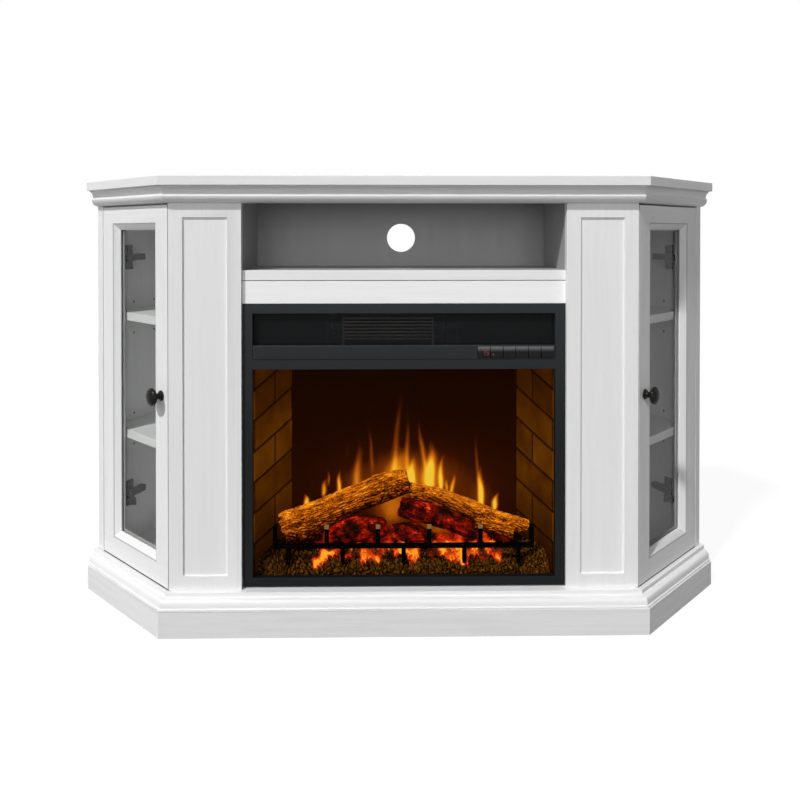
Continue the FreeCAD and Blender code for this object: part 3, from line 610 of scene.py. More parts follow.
def iron_look(start):
    """Rough cast iron, with the fire's light on the tops of the posts."""
    x, _, z = start.place()
    cast = start.noise(start.spot(), 420.0, 4.0, 0.65)
    warm = z.fade(*POST_TOPS) * (1 - x.math("ABSOLUTE").above(POST_REACH)) * (cast * 0.6 + 0.7)
    base = warm.mix((0.0016, 0.0011, 0.0008), (0.17, 0.09, 0.030))
    light = warm.mix(grey(0.0), (0.17, 0.078, 0.016))
    return surface(base, cast * 0.25 + 0.55, start.bump(cast, 0.5, 0.0008), 0.01, light=light)


iron = coated("grate_iron", iron_look)
# By slot: a finish, the width in mm that edges are eased by, and the nodes
EASED = {
    "white_wood_foil": [
        (foil_slab, 1.2, ["top_panel"]),
        (foil_mitred, 0.5, ["crown_moulding"]),
        (foil_plinth, 0.5, ["plinth_boards"]),
        (foil_upright, 0.8, [*both("pilaster"), "hinge_posts"]),
        (foil_side, 0.8, both("side_panel")),
        (foil_niche, 0.5, both("divider")),
        (foil_door, 0.7, both("door_frame")),
        (foil_header, 0.7, ["header_rail"]),
        (foil_ledge, 0.7, ["niche_shelf"]),
        (foil_lengthwise, 0.8, [*both("lower_shelf"), *both("upper_shelf")]),
    ],
    "black_coated_steel": [(powder, 0.8, ["insert_frame", "control_panel"])],
    "key_plastic": [(key_black, 0.5, [f"control_key_{number}" for number in range(1, 7)])],
    "grate_iron": [(iron, 0.7, ["fire_grate"])],
}
PAINTED = [
    (foil_floor, ["bottom_panel"]),
    (foil_lengthwise, ["top_rails", "plinth_bearers"]),
    (foil_niche, ["niche_back_panel"]),
    (hardboard, ["back_panels"]),
    (nickel_in_shade, ["shelf_pins", "hinge_arms", *both("hinge_cups")]),
    (plastic_white, ["door_catches", *both("glass_retainer")]),
    (cabinet_glass, both("door_glass")),
    (galvanised, ["insert_housing"]),
    (plastic_black, ["power_inlet", "blower_wheel"]),
    (fire_glass, ["firebox_glass"]),
    (board_green, ["control_board"]),
    (amber, ["ember_lamp_strip"]),
    (fin_metal, ["heater_element", "flame_rotor"]),
    (motor_grey, ["blower_motor", "flame_motor", "shaft_bearings"]),
]
for slot_name, rows in EASED.items():
    for node_finish, ease_width, names in rows:
        for node_name in names:
            ease(node_name, ease_width, node_finish, slot_name)
for node_finish, names in PAINTED:
    for node_name in names:
        paint(node_name, node_finish)


# Relief for moulded parts
def joined(*parts):
    """Points from their coordinates, spread to one shape."""
    return np.stack(np.broadcast_arrays(*parts), -1)


def hashed(cell, seed):
    """A fixed number from 0 to 1 for each lattice corner."""
    wave = np.sin(cell @ np.array((127.1, 311.7, 74.7)) + seed * 17.13) * 43758.5453
    return wave - np.floor(wave)


def lumps(points, size, seed):
    """Value noise from -1 to 1: hashed lattice corners blended by smooth steps."""
    spot = points / size
    cell = np.floor(spot)
    share = spot - cell
    share = share * share * (3 - 2 * share)
    total = np.zeros(points.shape[:-1])
    for corner in itertools.product((0, 1), repeat=3):
        weight = np.where(np.array(corner), share, 1 - share).prod(-1)
        total += weight * hashed(cell + np.array(corner), seed)
    return total * 2 - 1


def pebbles(x, y, size, seed):
    """Distances, in cells, to the nearest and the next of one scattered seed a cell."""
    spot = joined(x, y, 0.0) / size
    cell = np.floor(spot)
    near = np.full(x.shape, 9.0)
    later = near.copy()
    for step in itertools.product((-1, 0, 1), repeat=2):
        home = cell + np.array((*step, 0))
        centre = home[..., :2] + joined(hashed(home, seed), hashed(home, seed + 1))
        gap = np.linalg.norm(centre - spot[..., :2], axis=-1)
        later = np.minimum(later, np.maximum(near, gap))
        near = np.minimum(near, gap)
    return near, later


def smooth(values, low, high):
    share = np.clip((values - low) / (high - low), 0, 1)
    return share * share * (3 - 2 * share)


def circle(count):
    """One row of evenly spaced angles."""
    return np.linspace(0, 2 * math.pi, count, endpoint=False)[None]


def cells(grid, around=False):
    """The quads between the points of a grid, as rows of four point numbers."""
    index = np.arange(grid.shape[0] * grid.shape[1]).reshape(grid.shape[:2])
    if around:
        index = np.concatenate([index, index[:, :1]], axis=1)
    quads = np.stack([index[:-1, :-1], index[:-1, 1:], index[1:, 1:], index[1:, :-1]], -1)
    return quads.reshape(-1, 4)


def skin(name, grids, around=False, **fields):
    """One mesh over grids of points in metres; each field becomes a point attribute."""
    offsets = np.cumsum([0] + [grid.shape[0] * grid.shape[1] for grid in grids[:-1]])
    quads = np.concatenate([cells(grid, around) + first for grid, first in zip(grids, offsets)])
    points = np.concatenate([grid.reshape(-1, 3) for grid in grids])
    mesh = bpy.data.meshes.new(name)
    mesh.from_pydata(points.tolist(), [], quads.tolist())
    for key, values in fields.items():
        layer = mesh.attributes.new(key, "FLOAT", "POINT")
        flat = np.concatenate([value.reshape(-1) for value in values])
        layer.data.foreach_set("value", flat.astype(np.float32))
    weld(mesh)
    return link_object(name, mesh)


def closed_sheet(front, back):
    """A front and a back grid, with the four strips that join their edges."""
    strips = [np.stack([front[edge], back[edge]]) for edge in (0, -1)]
    strips += [np.stack([front[:, edge], back[:, edge]]) for edge in (0, -1)]
    return [front, back, *strips]


def field(start, name):
    return start.node("Attribute", {"attribute_name": name}, out=2)


def ramp(value, *stops):
    return value.node("ValToRGB", {"stops": stops}, {0: value})


# Base moulding
CAP_FOOT = (0.0, 46.6)
CAP_BEAD = (22.3, 48.2, 1.6)
CAP_BULGE = (11.8, 49.8, 9.9, 14.0)
CAP_SQUARE = 0.72
CAP_FILLET = [(11.4, 64.1), (9.0, 64.4), (9.0, 71.5), (8.6, 71.9), (0.0, 71.9)]
CAP_MIDDLE = (8.0, 58.0)
BEAD_POINTS = 11
BULGE_POINTS = 28
WIDE_CORNER = (626.0, 4.0)


def base_moulding():
    """A profile of distance out and height carried round the front and both angled faces:
    half-round bead, squared ovolo, step and fillet. Each corner is where the moved faces
    meet, and at both ends the profile shrinks to a point."""
    turn = np.linspace(-math.pi / 2, math.pi / 2, BEAD_POINTS)
    out, low, radius = CAP_BEAD
    bead = joined(out + radius * np.cos(turn), low + radius * np.sin(turn))
    lean = np.linspace(0, math.pi / 2, BULGE_POINTS)
    out, low, wide, high = CAP_BULGE
    bulge = joined(np.cos(lean).clip(0), np.sin(lean)) ** CAP_SQUARE * (wide, high) + (out, low)
    outline = np.concatenate([[CAP_FOOT], bead, bulge, CAP_FILLET])
    point = np.broadcast_to(CAP_MIDDLE, outline.shape)
    rows = []
    for side, share, shape in ((-1, 1, point), (-1, 1, outline), (-1, 0, outline), (1, 0, outline),
                               (1, 1, outline), (1, 1, point)):
        out, z = shape.T
        x = FACE_CORNER[0] + out * MITRE_SLOPE
        y = FACE_CORNER[1] - out
        reach = (WIDE_CORNER[0] - x) * SIDE_RUN[1] - (WIDE_CORNER[1] - y) * SIDE_RUN[0]
        reach = reach / (SIDE_RUN[1] - SIDE_RUN[0]) * share
        rows.append(joined((x + reach) * side, y + reach, z))
    return np.stack(rows) * MM


moulding = skin("base_moulding", [base_moulding()], True)
take_on(moulding, "cabinet", "white_wood_foil", foil_mitred, "base_cap")


# Logs
LOG_STEP = 1.25 * MM
CAP_ROWS = 12
CAP_DISH = 3.0 * MM
BARK_DEPTH = 3.4 * MM
LOGS = {
    "lean_log": [[(-225, -80, 151), (-183, -76, 163), (-106, -69, 195), (-28, -62, 225), (12, -58, 234)],
                 (29, 31, 24, 27, 22), 3],
    "prop_log": [[(15, -50, 210), (70, -58, 200), (144, -68, 172), (186, -74, 160), (237, -80, 151)],
                 (16, 18, 19, 18, 12), 11],
    "stub_log": [[(136, -86, 161), (172, -88, 154), (207, -90, 146)], (13, 14, 13), 17],
}
CHARRED = {
    "charred_left": [[(-138, -60, 128), (-84, -70, 146), (-34, -80, 152)], (19, 23, 17), 31],
    "charred_mid": [[(-6, -66, 186), (61, -74, 172), (140, -84, 142)], (17, 19, 16), 43],
    "charred_low": [[(-22, -88, 147), (14, -90, 146), (46, -94, 140)], (14, 17, 12), 23],
}


def curve(points, count):
    """Points along a smooth line through the given ones: cubics whose slope at each point
    is half the step between its neighbours."""
    points = np.asarray(points, float)
    chain = np.concatenate([2 * points[:1] - points[1:2], points, 2 * points[-1:] - points[-2:-1]])
    place = np.linspace(0, len(points) - 1, count)
    step = np.minimum(place.astype(int), len(points) - 2)
    share = (place - step)[:, None]
    a, b, c, d = (chain[step + number] for number in range(4))
    bend = (2 * a - 5 * b + 4 * c - d) + (3 * (b - c) + d - a) * share
    return b + 0.5 * share * (c - a + share * bend)


def log_grid(path, radii, seed):
    """Circles along a smooth path: the radius follows its own curve and swells, and is cut
    into long thin bark ridges by cracks between scattered seeds on the unrolled tube; at
    each end the circles shrink to a point on a rough, dished face."""
    path = np.array(path) * MM
    length = np.linalg.norm(path[-1] - path[0])
    run = (path[-1] - path[0]) / length
    side = np.cross(run, (0.0, 1.0, 0.0))
    side /= np.linalg.norm(side)
    other = np.cross(run, side)
    rows = int(length / LOG_STEP)
    body = np.linspace(0, 1, rows)
    cap = np.linspace(0, 1, CAP_ROWS)[:-1]
    along = np.concatenate([0 * cap, body, 0 * cap + 1])[:, None]
    shrink = np.concatenate([cap, 0 * body + 1, cap[::-1]])[:, None]
    repeat = np.concatenate([0 * cap, np.arange(rows), 0 * cap + rows - 1]).astype(int)
    axis = curve(path, rows)[repeat][:, None]
    radius = curve(np.array(radii)[:, None], rows)[repeat] * MM
    count = int(2 * math.pi * max(radii) * MM / LOG_STEP)
    turn = circle(count)
    wrap = joined(np.cos(turn) * radius, np.sin(turn) * radius, along * length)
    drift = lumps(wrap, 17 * MM, seed + 2) * 5 * MM
    long = np.array((1.0, 1.0, 0.30))
    near, later = pebbles(turn * radius + drift, along * length * 0.26 + drift, 4.6 * MM, seed)
    chips = lumps(wrap * long, 2.6 * MM, seed + 1)
    plates = lumps(wrap * long, 7.5 * MM, seed + 5)
    fine = lumps(wrap, 1.7 * MM, seed + 6)
    bark = smooth(later - near, 0.0, 0.55) * 0.34 + 0.42 + plates * 0.30 + chips * 0.24 + fine * 0.12
    bark = np.clip(bark, 0, 1)
    swell = lumps(wrap, 40 * MM, seed + 3) * 2.6 * MM
    outer = radius + swell + (bark - 0.7) * BARK_DEPTH
    rings = lumps(wrap * shrink[..., None], 4 * MM, seed + 4)
    ragged = lumps(wrap * np.array((1.0, 1.0, 0.0)), 7 * MM, seed + 7) * 3.0 * MM
    inward = np.where(along < 0.5, 1, -1)
    reach = 1 - smooth(np.minimum(along, 1 - along) * length, 0.0, 12 * MM)
    dish = inward * ((1 - shrink) * (CAP_DISH + rings * 1.5 * MM) + ragged * reach)
    spread = outer * shrink
    ring = np.cos(turn)[..., None] * side + np.sin(turn)[..., None] * other
    grid = axis + run * dish[..., None] + spread[..., None] * ring
    ends = np.broadcast_to(1 - shrink, bark.shape) > 0.04
    shade = np.where(ends, 0.30 + 0.16 * np.sin(spread / MM * 1.7) + 0.25 * rings, bark)
    return grid, np.clip(shade, 0, 1)


def bark_look(start):
    """Painted bark: brown ridges with dark cracks, painted light and shade by facing: gold where the
    fire lights the top, darker with a red glow underneath.
    """
    bark = field(start, "bark")
    spot = start.spot()
    grit = start.noise(spot, 430.0, 5.0, 0.72)
    stain = start.noise(spot, 60.0, 3.0, 0.6)
    tone = bark * 0.42 + grit * 1.2 + stain * 0.45 - 0.70
    up = start.facing_up()
    # Painted light and shade: brighter on top, darker underneath
    level = tone * (up.fade(-0.7, 1.0) * 0.96 + 0.28)
    stops = [(0.0, (0.003, 0.0008, 0.0001)), (0.2, (0.03, 0.006, 0.0004)), (0.45, (0.13, 0.034, 0.001)),
             (0.8, (0.28, 0.10, 0.006))]
    gold = [(0.10, (0.0, 0.0, 0.0)), (0.26, (0.09, 0.014, 0.0005)), (0.42, (0.34, 0.068, 0.0022)),
            (0.60, (0.66, 0.185, 0.006)), (0.80, (0.98, 0.47, 0.03))]
    red = [(0.10, (0.0, 0.0, 0.0)), (0.22, (0.06, 0.004, 0.0005)), (0.36, (0.26, 0.024, 0.0015)),
           (0.56, (0.55, 0.085, 0.003))]
    light = up.fade(-0.75, 0.15).mix(ramp(level, *red), ramp(level, *gold))
    relief = start.bump(grit, 0.6, 0.0012)
    return surface(ramp(level, *stops), 0.85 - bark * 0.12, relief, 0.0, light=light, strength=1.26)


def char_look(start):
    """Charred wood: black plates over a red heart that shows in patches and cracks, with
    orange sparks low down."""
    z = start.place()[2]
    bark = field(start, "bark")
    spot = start.spot()
    grit = start.noise(spot, 260.0, 5.0, 0.75)
    patch = start.noise(spot, 34.0, 4.0, 0.65)
    spark = start.noise(spot, 150.0, 3.0, 0.6).fade(0.55, 0.72) * (1 - z.fade(0.120, 0.158))
    heat = (patch.fade(0.40, 0.66) + 0.08) * (grit * 0.9 + 0.35) * (1.45 - bark * 1.1) + spark * 0.6
    stops = [(0.08, (0.0, 0.0, 0.0)), (0.30, (0.060, 0.0015, 0.0008)), (0.58, (0.23, 0.004, 0.002)),
             (0.84, (0.56, 0.018, 0.004)), (0.99, (1.0, 0.14, 0.012))]
    base = (bark * 0.6 + grit * 0.4).mix((0.002, 0.0008, 0.0006), (0.020, 0.005, 0.002))
    relief = start.bump(grit, 0.7, 0.0012)
    return surface(base, 0.8 - bark * 0.1, relief, 0.0, light=ramp(heat, *stops))


def lay_logs(name, rows, finish, *replaced):
    grids, shades = zip(*[log_grid(*row) for row in rows.values()])
    take_on(skin(name, grids, True, bark=shades), "cabinet", "log_resin", finish, *replaced)


lay_logs("bark_logs", LOGS, coated("painted_bark", bark_look), "log_set")
lay_logs("charred_logs", CHARRED, coated("charred_wood", char_look))


# Embers and ash
ROOM_FLOOR = 74.0
BED_HALF = 214.0
BED_GRID = (330, 150)
BANK_GRID = (70, 150)
BED_FRONT = -137.0
BED_REAR = -9.5
BED_PROFILE = [(-134.0, 74.0), (-131.0, 82.0), (-124.0, 91.0), (-112.0, 97.0), (-84.0, 103.0), (-46.0, 107.0),
               (-18.0, 113.0), (-9.5, 98.0), (-9.5, 74.0)]
WALL_FRONT = (272.0, -138.7)
WALL_REAR = {-1: (217.0, -8.9), 1: (228.5, -8.9)}


def heap(x, y, z):
    """A top of heights and a flat underside on the room floor, which meet all round."""
    rim = np.zeros(x.shape, bool)
    rim[[0, -1]] = True
    rim[:, [0, -1]] = True
    return joined(x, y, np.where(rim, ROOM_FLOOR, z)) * MM, joined(x, y, ROOM_FLOOR) * MM


def clinker(x, y, size, seed):
    """Rounded stones: domes over scattered seeds, with grit on them and cracks between."""
    flat = joined(x, y, 0.0)
    drift = lumps(flat, size * 1.6, seed + 7) * size * 0.35
    near, later = pebbles(x + drift, y - drift, size, seed)
    dome = np.sqrt(np.clip(1 - near * near, 0, 1)) + 0.30 * lumps(flat, size * 0.32, seed + 5)
    return dome, smooth(later - near, 0.03, 0.40)


def ember_bed():
    """A profile from front to back carried along x, with stones that stand out square to
    it; the cracks between the stones on top hold the fire."""
    line = curve(BED_PROFILE, BED_GRID[1])
    slope = np.gradient(line, axis=0)
    slope /= np.linalg.norm(slope, axis=1, keepdims=True)
    arc = np.concatenate([[0], np.cumsum(np.linalg.norm(np.diff(line, axis=0), axis=1))])
    x, s = np.meshgrid(np.linspace(-BED_HALF, BED_HALF, BED_GRID[0]), arc)
    flat = joined(x, s, 0.0)
    dome, gap = clinker(x, s, 9.0, 5)
    wide = lumps(flat, 38.0, 8)
    rise = dome * 5.5 * gap + wide * 4.0 + lumps(flat, 4.5, 6) * 1.2
    ends = smooth(BED_HALF - np.abs(x), 0.0, 8.0)
    out = joined(-slope[:, 1], slope[:, 0])[:, None] * (rise * ends)[..., None]
    y = np.clip(line[:, None, 0] + out[..., 0], BED_FRONT - 1.0, BED_REAR)
    z = np.maximum(line[:, None, 1] + out[..., 1], ROOM_FLOOR + 0.4)
    step = joined(x, 0.0, 0.0)
    edge = -117 + 15 * lumps(step, 15.0, 21) + 6 * lumps(step, 5.5, 22)
    band = smooth(y - edge, 0.0, 22.0) * (1 - 0.55 * smooth(y, -60.0, -34.0))
    middle = 1 - smooth(np.abs(x - 14) + 16 * wide, 165.0, 200.0)
    tongues = lumps(joined(x, y * 0.45, 0.0), 12.5, 9)
    heat = band * middle * (0.66 - gap * 0.34 + 0.98 * tongues)
    return heap(x, y, z), np.clip(heat, 0, 1), gap


def ash_bank(side):
    """Stones heaped between the ember bed and a brick wall, rising to the wall."""
    u = np.linspace(0, 1, BANK_GRID[0])[None]
    v = np.linspace(0, 1, BANK_GRID[1])[:, None] ** 1.5
    rear = WALL_REAR[side]
    wall = WALL_FRONT[0] + (rear[0] - WALL_FRONT[0]) * v - 1.5
    foot = np.minimum(BED_HALF + 0.6, wall - 2.0)
    x = side * (foot + (wall - foot) * u)
    y = np.broadcast_to(BED_FRONT + (BED_REAR - BED_FRONT - 4) * v, x.shape).copy()
    flat = joined(x, y, 0.0)
    hill = 9 + 34 * smooth(u * 0.7 + v * 1.2, 0.0, 0.9) + 6 * lumps(flat, 26.0, 12)
    hill = hill * smooth(v, -0.03, 0.13)
    climb = np.cumsum(np.hypot(np.diff(y, axis=0), np.diff(hill, axis=0)), axis=0)
    dome, gap = clinker(x, np.concatenate([0 * x[:1], climb]), 6.8, 15)
    stones = dome * 4 * gap + lumps(flat, 4.0, 14) * 1.2
    z = ROOM_FLOOR + hill + stones * smooth(v, -0.03, 0.06)
    return heap(x, y, z), 0 * x, gap


def ember_look(start):
    """Ash-brown stones with gold grit; red to yellow light in the hot cracks."""
    heat = field(start, "fire")
    gap = field(start, "gap")
    spot = start.spot()
    grit = start.noise(spot, 300.0, 5.0, 0.75)
    fleck = start.noise(spot, 170.0, 4.0, 0.7).fade(0.52, 0.66)
    tone = grit * 1.15 + gap * 0.15 - 0.13
    fire = heat * (grit * 1.0 + 0.42)
    stops = [(0.10, (0.0, 0.0, 0.0)), (0.26, (0.12, 0.003, 0.001)), (0.48, (0.48, 0.018, 0.003)),
             (0.70, (0.92, 0.11, 0.006)), (0.94, (1.0, 0.44, 0.028))]
    ashes = ramp(tone, (0.36, (0.007, 0.0023, 0.0003)), (0.52, (0.036, 0.0115, 0.0009)),
                 (0.72, (0.18, 0.070, 0.008)))
    base = (fleck * 0.6).mix(ashes, (0.36, 0.16, 0.020))
    relief = start.bump(grit, 0.7, 0.0012)
    return surface(base, 0.85 - gap * 0.1, relief, 0.0, light=ramp(fire, *stops), strength=1.1)


def lay_embers():
    finish = coated("ember_stones", ember_look)
    rows = [("ember_stones", ember_bed(), ["ember_bed"])]
    rows += [("left_ash_bank", ash_bank(-1), []), ("right_ash_bank", ash_bank(1), [])]
    for name, (grids, heat, gap), replaced in rows:
        piece = skin(name, grids, fire=(heat, 0 * heat), gap=(gap, gap))
        take_on(piece, "cabinet", "ember_resin", finish, *replaced)


lay_embers()


# Flame screen
SCREEN_HALF = 229.0
SCREEN_FRONT = -8.7
SCREEN_REAR = -5.7
SCREEN_LOW = 74.0
SCREEN_HIGH = 472.0
SCREEN_GRID = (210, 180)
TONGUES = np.array([
    # x, foot z, height, half width, lean, heat
    (-189, 170, 24, 8.0, -2, 0.95), (-155, 190, 36, 7.0, 5, 0.66), (-145, 212, 32, 3.6, 0, 0.36),
    (-124, 194, 48, 6.0, 2, 0.80), (-90, 198, 110, 13.0, 5, 0.36), (-58, 246, 104, 5.6, -9, 0.22),
    (-108, 268, 34, 5.0, 0, 0.07), (-15, 236, 186, 9.0, 14, 0.26), (11, 236, 134, 8.0, 0, 0.28),
    (-8, 226, 66, 27.0, 0, 0.30), (22, 206, 66, 11.0, -2, 0.80), (46, 250, 100, 7.0, -13, 0.34),
    (55, 202, 98, 18.0, 3, 0.82), (56, 205, 74, 9.0, 3, 0.40), (78, 200, 72, 7.4, 3, 0.80),
    (90, 198, 24, 3.8, 0, 0.42), (99, 192, 44, 5.6, 6, 0.56), (158, 166, 84, 8.6, 0, 1.0),
    (154, 205, 132, 4.4, -10, 0.24), (185, 160, 36, 8.6, 6, 0.95),
])
GLOWS = np.array([
    # x, z, half width, half height, heat
    (30, 205, 150, 75, 0.16), (-8, 232, 46, 34, 0.20), (50, 215, 60, 48, 0.16), (-88, 205, 34, 34, 0.12),
    (-20, 160, 26, 34, 0.36), (77, 121, 40, 26, 0.30), (156, 178, 24, 30, 0.14),
])


def flame_heat(x, z):
    """Each tongue is a bell across a leaning, curling centre line, as wide as a leaf that
    narrows to its tip and fades as it rises; wide round bells add the glow between."""
    heat = 0.035 * np.exp(-((z - 180) / 170) ** 2)
    for centre_x, centre_z, wide, high, strength in GLOWS:
        heat = heat + strength * np.exp(-((x - centre_x) / wide) ** 2 - ((z - centre_z) / high) ** 2)
    waver = lumps(joined(x, 0.0, z * 0.45), 16.0, 51) * 2.4
    for foot_x, foot_z, height, width, lean, strength in TONGUES:
        share = (z - foot_z) / height
        inside = np.clip(share, 0, 1)
        curl = width * 0.4 * np.sin(5.2 * inside + foot_x)
        centre = foot_x + lean * inside + curl * inside + waver * inside
        half = width * (0.16 + (inside + 0.1) ** 0.4 * (1 - inside) ** 0.9)
        bell = np.exp(-((x - centre) / half) ** 2 * 1.2)
        rise = smooth(share, -0.3, 0.1) * (1 - smooth(share, 0.25, 1.05))
        heat = heat + strength * bell * rise
    return np.clip(heat, 0, 1)


def flame_look(start):
    """Smoked screen with the fire's picture in light: red-brown, orange, yellow."""
    heat = field(start, "fire")
    x, y, z = start.place()
    wisp = start.noise(start.vector(x * 3.0, y, z), 45.0, 3.0, 0.6)
    level = heat * (wisp * 0.4 + 0.8)
    stops = [(0.0, (0.0085, 0.0018, 0.0002)), (0.12, (0.034, 0.005, 0.0004)), (0.3, (0.19, 0.033, 0.0015)),
             (0.52, (0.58, 0.145, 0.005)), (0.74, (0.97, 0.38, 0.012)), (0.95, (1.0, 0.64, 0.05))]
    base = wisp.mix((0.002, 0.0006, 0.0003), (0.004, 0.0014, 0.0006))
    return surface(base, wisp * 0.1 + 0.45, gloss=0.0, light=ramp(level, *stops))


def hang_screen():
    across = np.linspace(-SCREEN_HALF, SCREEN_HALF, SCREEN_GRID[0])
    x, z = np.meshgrid(across, np.linspace(SCREEN_LOW, SCREEN_HIGH, SCREEN_GRID[1]))
    faces = [joined(x, y, z) * MM for y in (SCREEN_FRONT, SCREEN_REAR)]
    screen = skin("flame_picture", closed_sheet(*faces), fire=closed_sheet(*[flame_heat(x, z)] * 2))
    take_on(screen, "cabinet", "flame_screen", coated("flame_picture", flame_look), "flame_screen")


hang_screen()


# Brick walls of the firebox
BRICK_HIGH = 56.0
BRICK_LONG = 139.0
BRICK_FOOT = 31.0
COURSE_CLIMB = (19.0, 0.085, 200.0)
JOINT_HALF = 2.1
JOINT_DEPTH = 2.2
BRICK_TOP = 472.0
BRICK_BACK = 6.5
BRICK_GRID = (84, 230)


def brick_wall(side):
    """A splayed sheet in running bond: the courses climb to the back, joints are sunk
    grooves, and each brick has its own tone and a rough face; its back is flat."""
    run = np.array(WALL_REAR[side]) - np.array(WALL_FRONT)
    length = np.linalg.norm(run)
    rise = np.linspace(ROOM_FLOOR, BRICK_TOP, BRICK_GRID[1])
    s, z = np.meshgrid(np.linspace(0, length, BRICK_GRID[0]), rise)
    lift, spread, level = COURSE_CLIMB
    course = (z - s / length * (lift + spread * (z - level)) - BRICK_FOOT) / BRICK_HIGH
    row = np.floor(course)
    bed = np.abs(course - row - 0.5)
    part = s / BRICK_LONG + np.where(row % 2 > 0.5, -0.02, 0.45)
    brick = np.floor(part)
    head = np.abs(part - brick - 0.5)
    edge = np.minimum((0.5 - bed) * BRICK_HIGH, (0.5 - head) * BRICK_LONG)
    flat = joined(s, z, side * 40.0)
    edge = edge + lumps(flat, 7.0, 61) * 0.5
    mortar = 1 - smooth(edge, JOINT_HALF - 1.0, JOINT_HALF + 0.8)
    rough = lumps(flat, 5.0, 62) * 0.35 + lumps(flat, 24.0, 63) * 0.4
    sunk = mortar * JOINT_DEPTH - rough * (1 - mortar) * 0.6 + 0.6
    tone = hashed(joined(row, brick, 0.0), 7)
    outward = np.array((run[1], -run[0])) / length
    plan = np.array(WALL_FRONT) + s[..., None] * run / length
    faces = []
    for depth in (sunk, np.full_like(s, BRICK_BACK)):
        shifted = plan + depth[..., None] * outward
        shifted[..., 1] = np.clip(shifted[..., 1], WALL_FRONT[1], WALL_REAR[side][1])
        faces.append(joined(shifted[..., 0] * side, shifted[..., 1], z) * MM)
    return faces, mortar, tone


def brick_look(start):
    """Dark fire-lit brick: orange brown, darker joints, painted light that is brighter by the
    flames, and a painted highlight along the front edge."""
    _, y, z = start.place()
    mortar = field(start, "mortar")
    tone = field(start, "tone")
    spot = start.spot()
    grit = start.noise(spot, 260.0, 5.0, 0.65)
    cloud = start.noise(spot, 22.0, 3.0)
    level = (tone * 0.25 + grit * 0.45 + cloud * 0.5) * (1 - mortar * 0.8)
    # Painted light: brightest at the height of the flames
    near = z.fade(0.08, 0.26) * (1 - z.fade(0.24, 0.48) * 0.55)
    # Painted highlight along the front edge
    edge = 1 - y.fade(-0.1365, -0.1345)
    glow = ramp(level * (near * 0.75 + 0.25) + edge * 0.3, (0.05, (0.002, 0.0005, 0.0)),
                (0.45, (0.050, 0.0125, 0.0004)), (0.8, (0.14, 0.042, 0.0014)))
    base = ramp(level, (0.05, (0.002, 0.0007, 0.0001)), (0.4, (0.010, 0.003, 0.0003)),
                (0.8, (0.024, 0.0075, 0.0007)))
    return surface(base, 0.9 - level * 0.1, start.bump(grit, 0.5, 0.001), 0.0, light=glow)


def set_bricks():
    finish = coated("fire_brick", brick_look)
    for name, side, replaced in (("left_brick_wall", -1, ["brick_panels"]), ("right_brick_wall", 1, [])):
        faces, mortar, tone = brick_wall(side)
        fields = {key: closed_sheet(row, row) for key, row in (("mortar", mortar), ("tone", tone))}
        wall = skin(name, closed_sheet(*faces), **fields)
        take_on(wall, "cabinet", "brick_resin", finish, *replaced)


set_bricks()


# Air mesh over the heater
MESH_HALF = 278.0
MESH_LOW = 508.6
MESH_HIGH = 572.5
MESH_PITCH = 4.4
MESH_STEP = 1.25
STRAND_HALF = 0.42
MESH_FACES = (-142.9, -142.0)


def mesh_strand(number):
    """A flat strand that zigzags across the opening; every second one is turned over,
    so that neighbours touch at the turns and leave diamonds."""
    x = np.arange(-MESH_HALF, MESH_HALF + MESH_PITCH / 4, MESH_PITCH / 2)
    turn = np.where(np.arange(len(x)) % 2, 1, -1) * (1 if number % 2 else -1)
    z = MESH_LOW + MESH_STEP * (number + 0.5) + turn * (MESH_STEP / 2 - STRAND_HALF * 0.4)
    corners = np.array([(0, -1), (0, 1), (1, 1), (1, -1)])
    y = np.array(MESH_FACES)[corners[:, 0]]
    ring = joined(x[:, None], y[None], z[:, None] + corners[:, 1] * STRAND_HALF)
    ends = ring[[0, -1]].mean(1, keepdims=True).repeat(4, axis=1)
    return np.concatenate([ends[:1], ring, ends[1:]]) * MM


def stretch_mesh():
    count = int((MESH_HIGH - MESH_LOW) / MESH_STEP)
    mesh = skin("air_mesh_strands", [mesh_strand(number) for number in range(count)], True)
    take_on(mesh, "cabinet", "black_mesh", mesh_black, "air_mesh")


stretch_mesh()


# Lights on the keys
KEY_FRONT = -158.2
DIGIT_HIGH = 8.4
DIGIT_WIDE = 4.6
DIGIT_PITCH = 7.4
BAR_HALF = 0.42
LIGHT_RISE = 0.25
DISPLAY_PLACE = (139.4, 491.0)
POWER_LIGHT = (159.6, 491.6, 1.3)
SEGMENTS = {
    "top": ((0, 2), (1, 2)), "upper_left": ((0, 1), (0, 2)), "upper_right": ((1, 1), (1, 2)),
    "middle": ((0, 1), (1, 1)), "lower_left": ((0, 0), (0, 1)), "lower_right": ((1, 0), (1, 1)),
    "bottom": ((0, 0), (1, 0)),
}
DIGITS = [("top", "upper_right", "lower_right"), ("top", "upper_left", "middle", "lower_right", "bottom")]


def light_bar(start, end):
    """A lozenge bar between two points on a key's face: a flat six-sided outline, raised
    and closed to a ridge along its middle."""
    start, end = np.array(start), np.array(end)
    run = (end - start) / np.linalg.norm(end - start)
    across = np.array((-run[1], run[0]))
    outline = np.array([place + (run * inset + across * half) * BAR_HALF for place, inset, half in (
        (start, 0.4, 0), (start, 1.6, 1), (end, -1.6, 1), (end, -0.4, 0), (end, -1.6, -1), (start, 1.6, -1))])
    middle = outline.mean(0)
    rows = []
    for share, rise in ((1.0, 0.0), (1.0, 0.7), (0.75, 1.0), (0.0, 1.0)):
        x, z = (middle + (outline - middle) * share).T
        rows.append(joined(x, KEY_FRONT - rise * LIGHT_RISE, z))
    return np.stack(rows) * MM


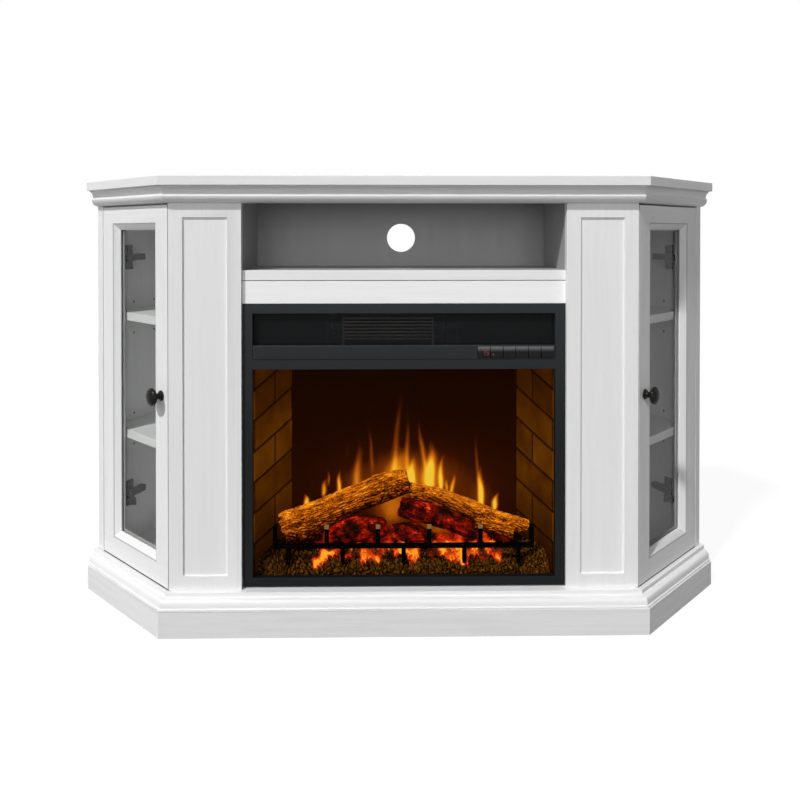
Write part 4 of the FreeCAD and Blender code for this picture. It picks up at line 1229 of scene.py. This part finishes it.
def light_dot(x, z, radius):
    """A dome: circles that shrink and rise to a point in front of the key."""
    angle, lean = circle(24), np.linspace(0, math.pi / 2, 7)[:, None]
    ring = radius * np.cos(lean)
    rise = LIGHT_RISE * np.sin(lean)
    return joined(x + ring * np.cos(angle), KEY_FRONT - rise, z + ring * np.sin(angle)) * MM


def red_look(start):
    """Red light behind a dark lens, a little uneven."""
    spot = start.noise(start.spot(), 900.0)
    light = spot.mix((0.13, 0.003, 0.012), (0.20, 0.005, 0.018))
    return surface(spot.mix((0.05, 0.004, 0.004), (0.09, 0.008, 0.008)), spot * 0.1 + 0.3, light=light)


def fit_lights():
    finish = coated("red_light", red_look)
    bars = []
    for index, lit in enumerate(DIGITS):
        foot = np.array(DISPLAY_PLACE) + np.array((DIGIT_PITCH * index, 0))
        size = np.array((DIGIT_WIDE, DIGIT_HIGH / 2))
        bars += [light_bar(*(foot + size * np.array(end) for end in SEGMENTS[name])) for name in lit]
    take_on(skin("display_digits", bars, True), "control_key_1", "lamp", finish)
    take_on(skin("power_light", [light_dot(*POWER_LIGHT)], True), "control_key_2", "lamp", finish)


fit_lights()


# Knobs, and the screws that hold the strips behind the door panes
STRIP_SCREWS = (118.0, 423.0, 659.0, 720.0)
STRIP_LENGTHS = (33.5, 217.5)
SCREW_RADIUS = 2.6
SCREW_RISE = 1.5
DOOR_BACK = -18.0
KNOB_PLACE = (23.0, 417.0)
KNOB_PROFILE = [
    (0.0, 0.0), (8.6, 0.1), (9.4, 1.2), (8.6, 2.9), (6.6, 4.2), (5.5, 7.0), (5.5, 10.0), (7.2, 12.6),
    (11.6, 14.4), (14.8, 16.4), (15.9, 18.9), (15.0, 21.8), (11.8, 24.5), (6.4, 26.4), (0.0, 26.95),
]


def on_door(side, along, out, z):
    """Points on a shut door by length along its face, distance out from it and height."""
    x = FACE_CORNER[0] + DIAGONAL * (along + out)
    y = FACE_CORNER[1] + DIAGONAL * (along - out)
    return joined(x * side, y, z) * MM


def screw_head(side, length, z):
    """A low dome with a cross slot pressed in: circles shrink and rise behind the door."""
    angle, lean = circle(32), np.linspace(0, math.pi / 2, 10)[:, None]
    ring = SCREW_RADIUS * np.cos(lean)
    slot = np.exp(-(ring * np.minimum(np.abs(np.cos(angle)), np.abs(np.sin(angle))) / 0.4) ** 2)
    rise = SCREW_RISE * np.sin(lean) - 0.6 * slot * smooth(SCREW_RADIUS - ring, 0.6, 1.0)
    return on_door(side, length + ring * np.cos(angle), DOOR_BACK - rise, z + ring * np.sin(angle))


def knob(side):
    """A turned profile of radius and distance out, carried round the knob's axis."""
    angle = circle(64)
    ring, out = np.split(curve(KNOB_PROFILE, 90), 2, axis=1)
    ring = np.maximum(ring, 0)
    along = KNOB_PLACE[0] + ring * np.cos(angle)
    return on_door(side, along, np.maximum(out, 0), KNOB_PLACE[1] + ring * np.sin(angle))


def fit_doors():
    for name, side in (("left", -1), ("right", 1)):
        heads = [screw_head(side, *place) for place in itertools.product(STRIP_LENGTHS, STRIP_SCREWS)]
        take_on(skin(name + "_strip_screws", heads, True), name + "_door", "nickel_steel", nickel_in_shade)
        turned = skin(name + "_turned_knob", [knob(side)], True)
        take_on(turned, name + "_door", "dark_bronze", bronze, name + "_door_knob")


fit_doors()
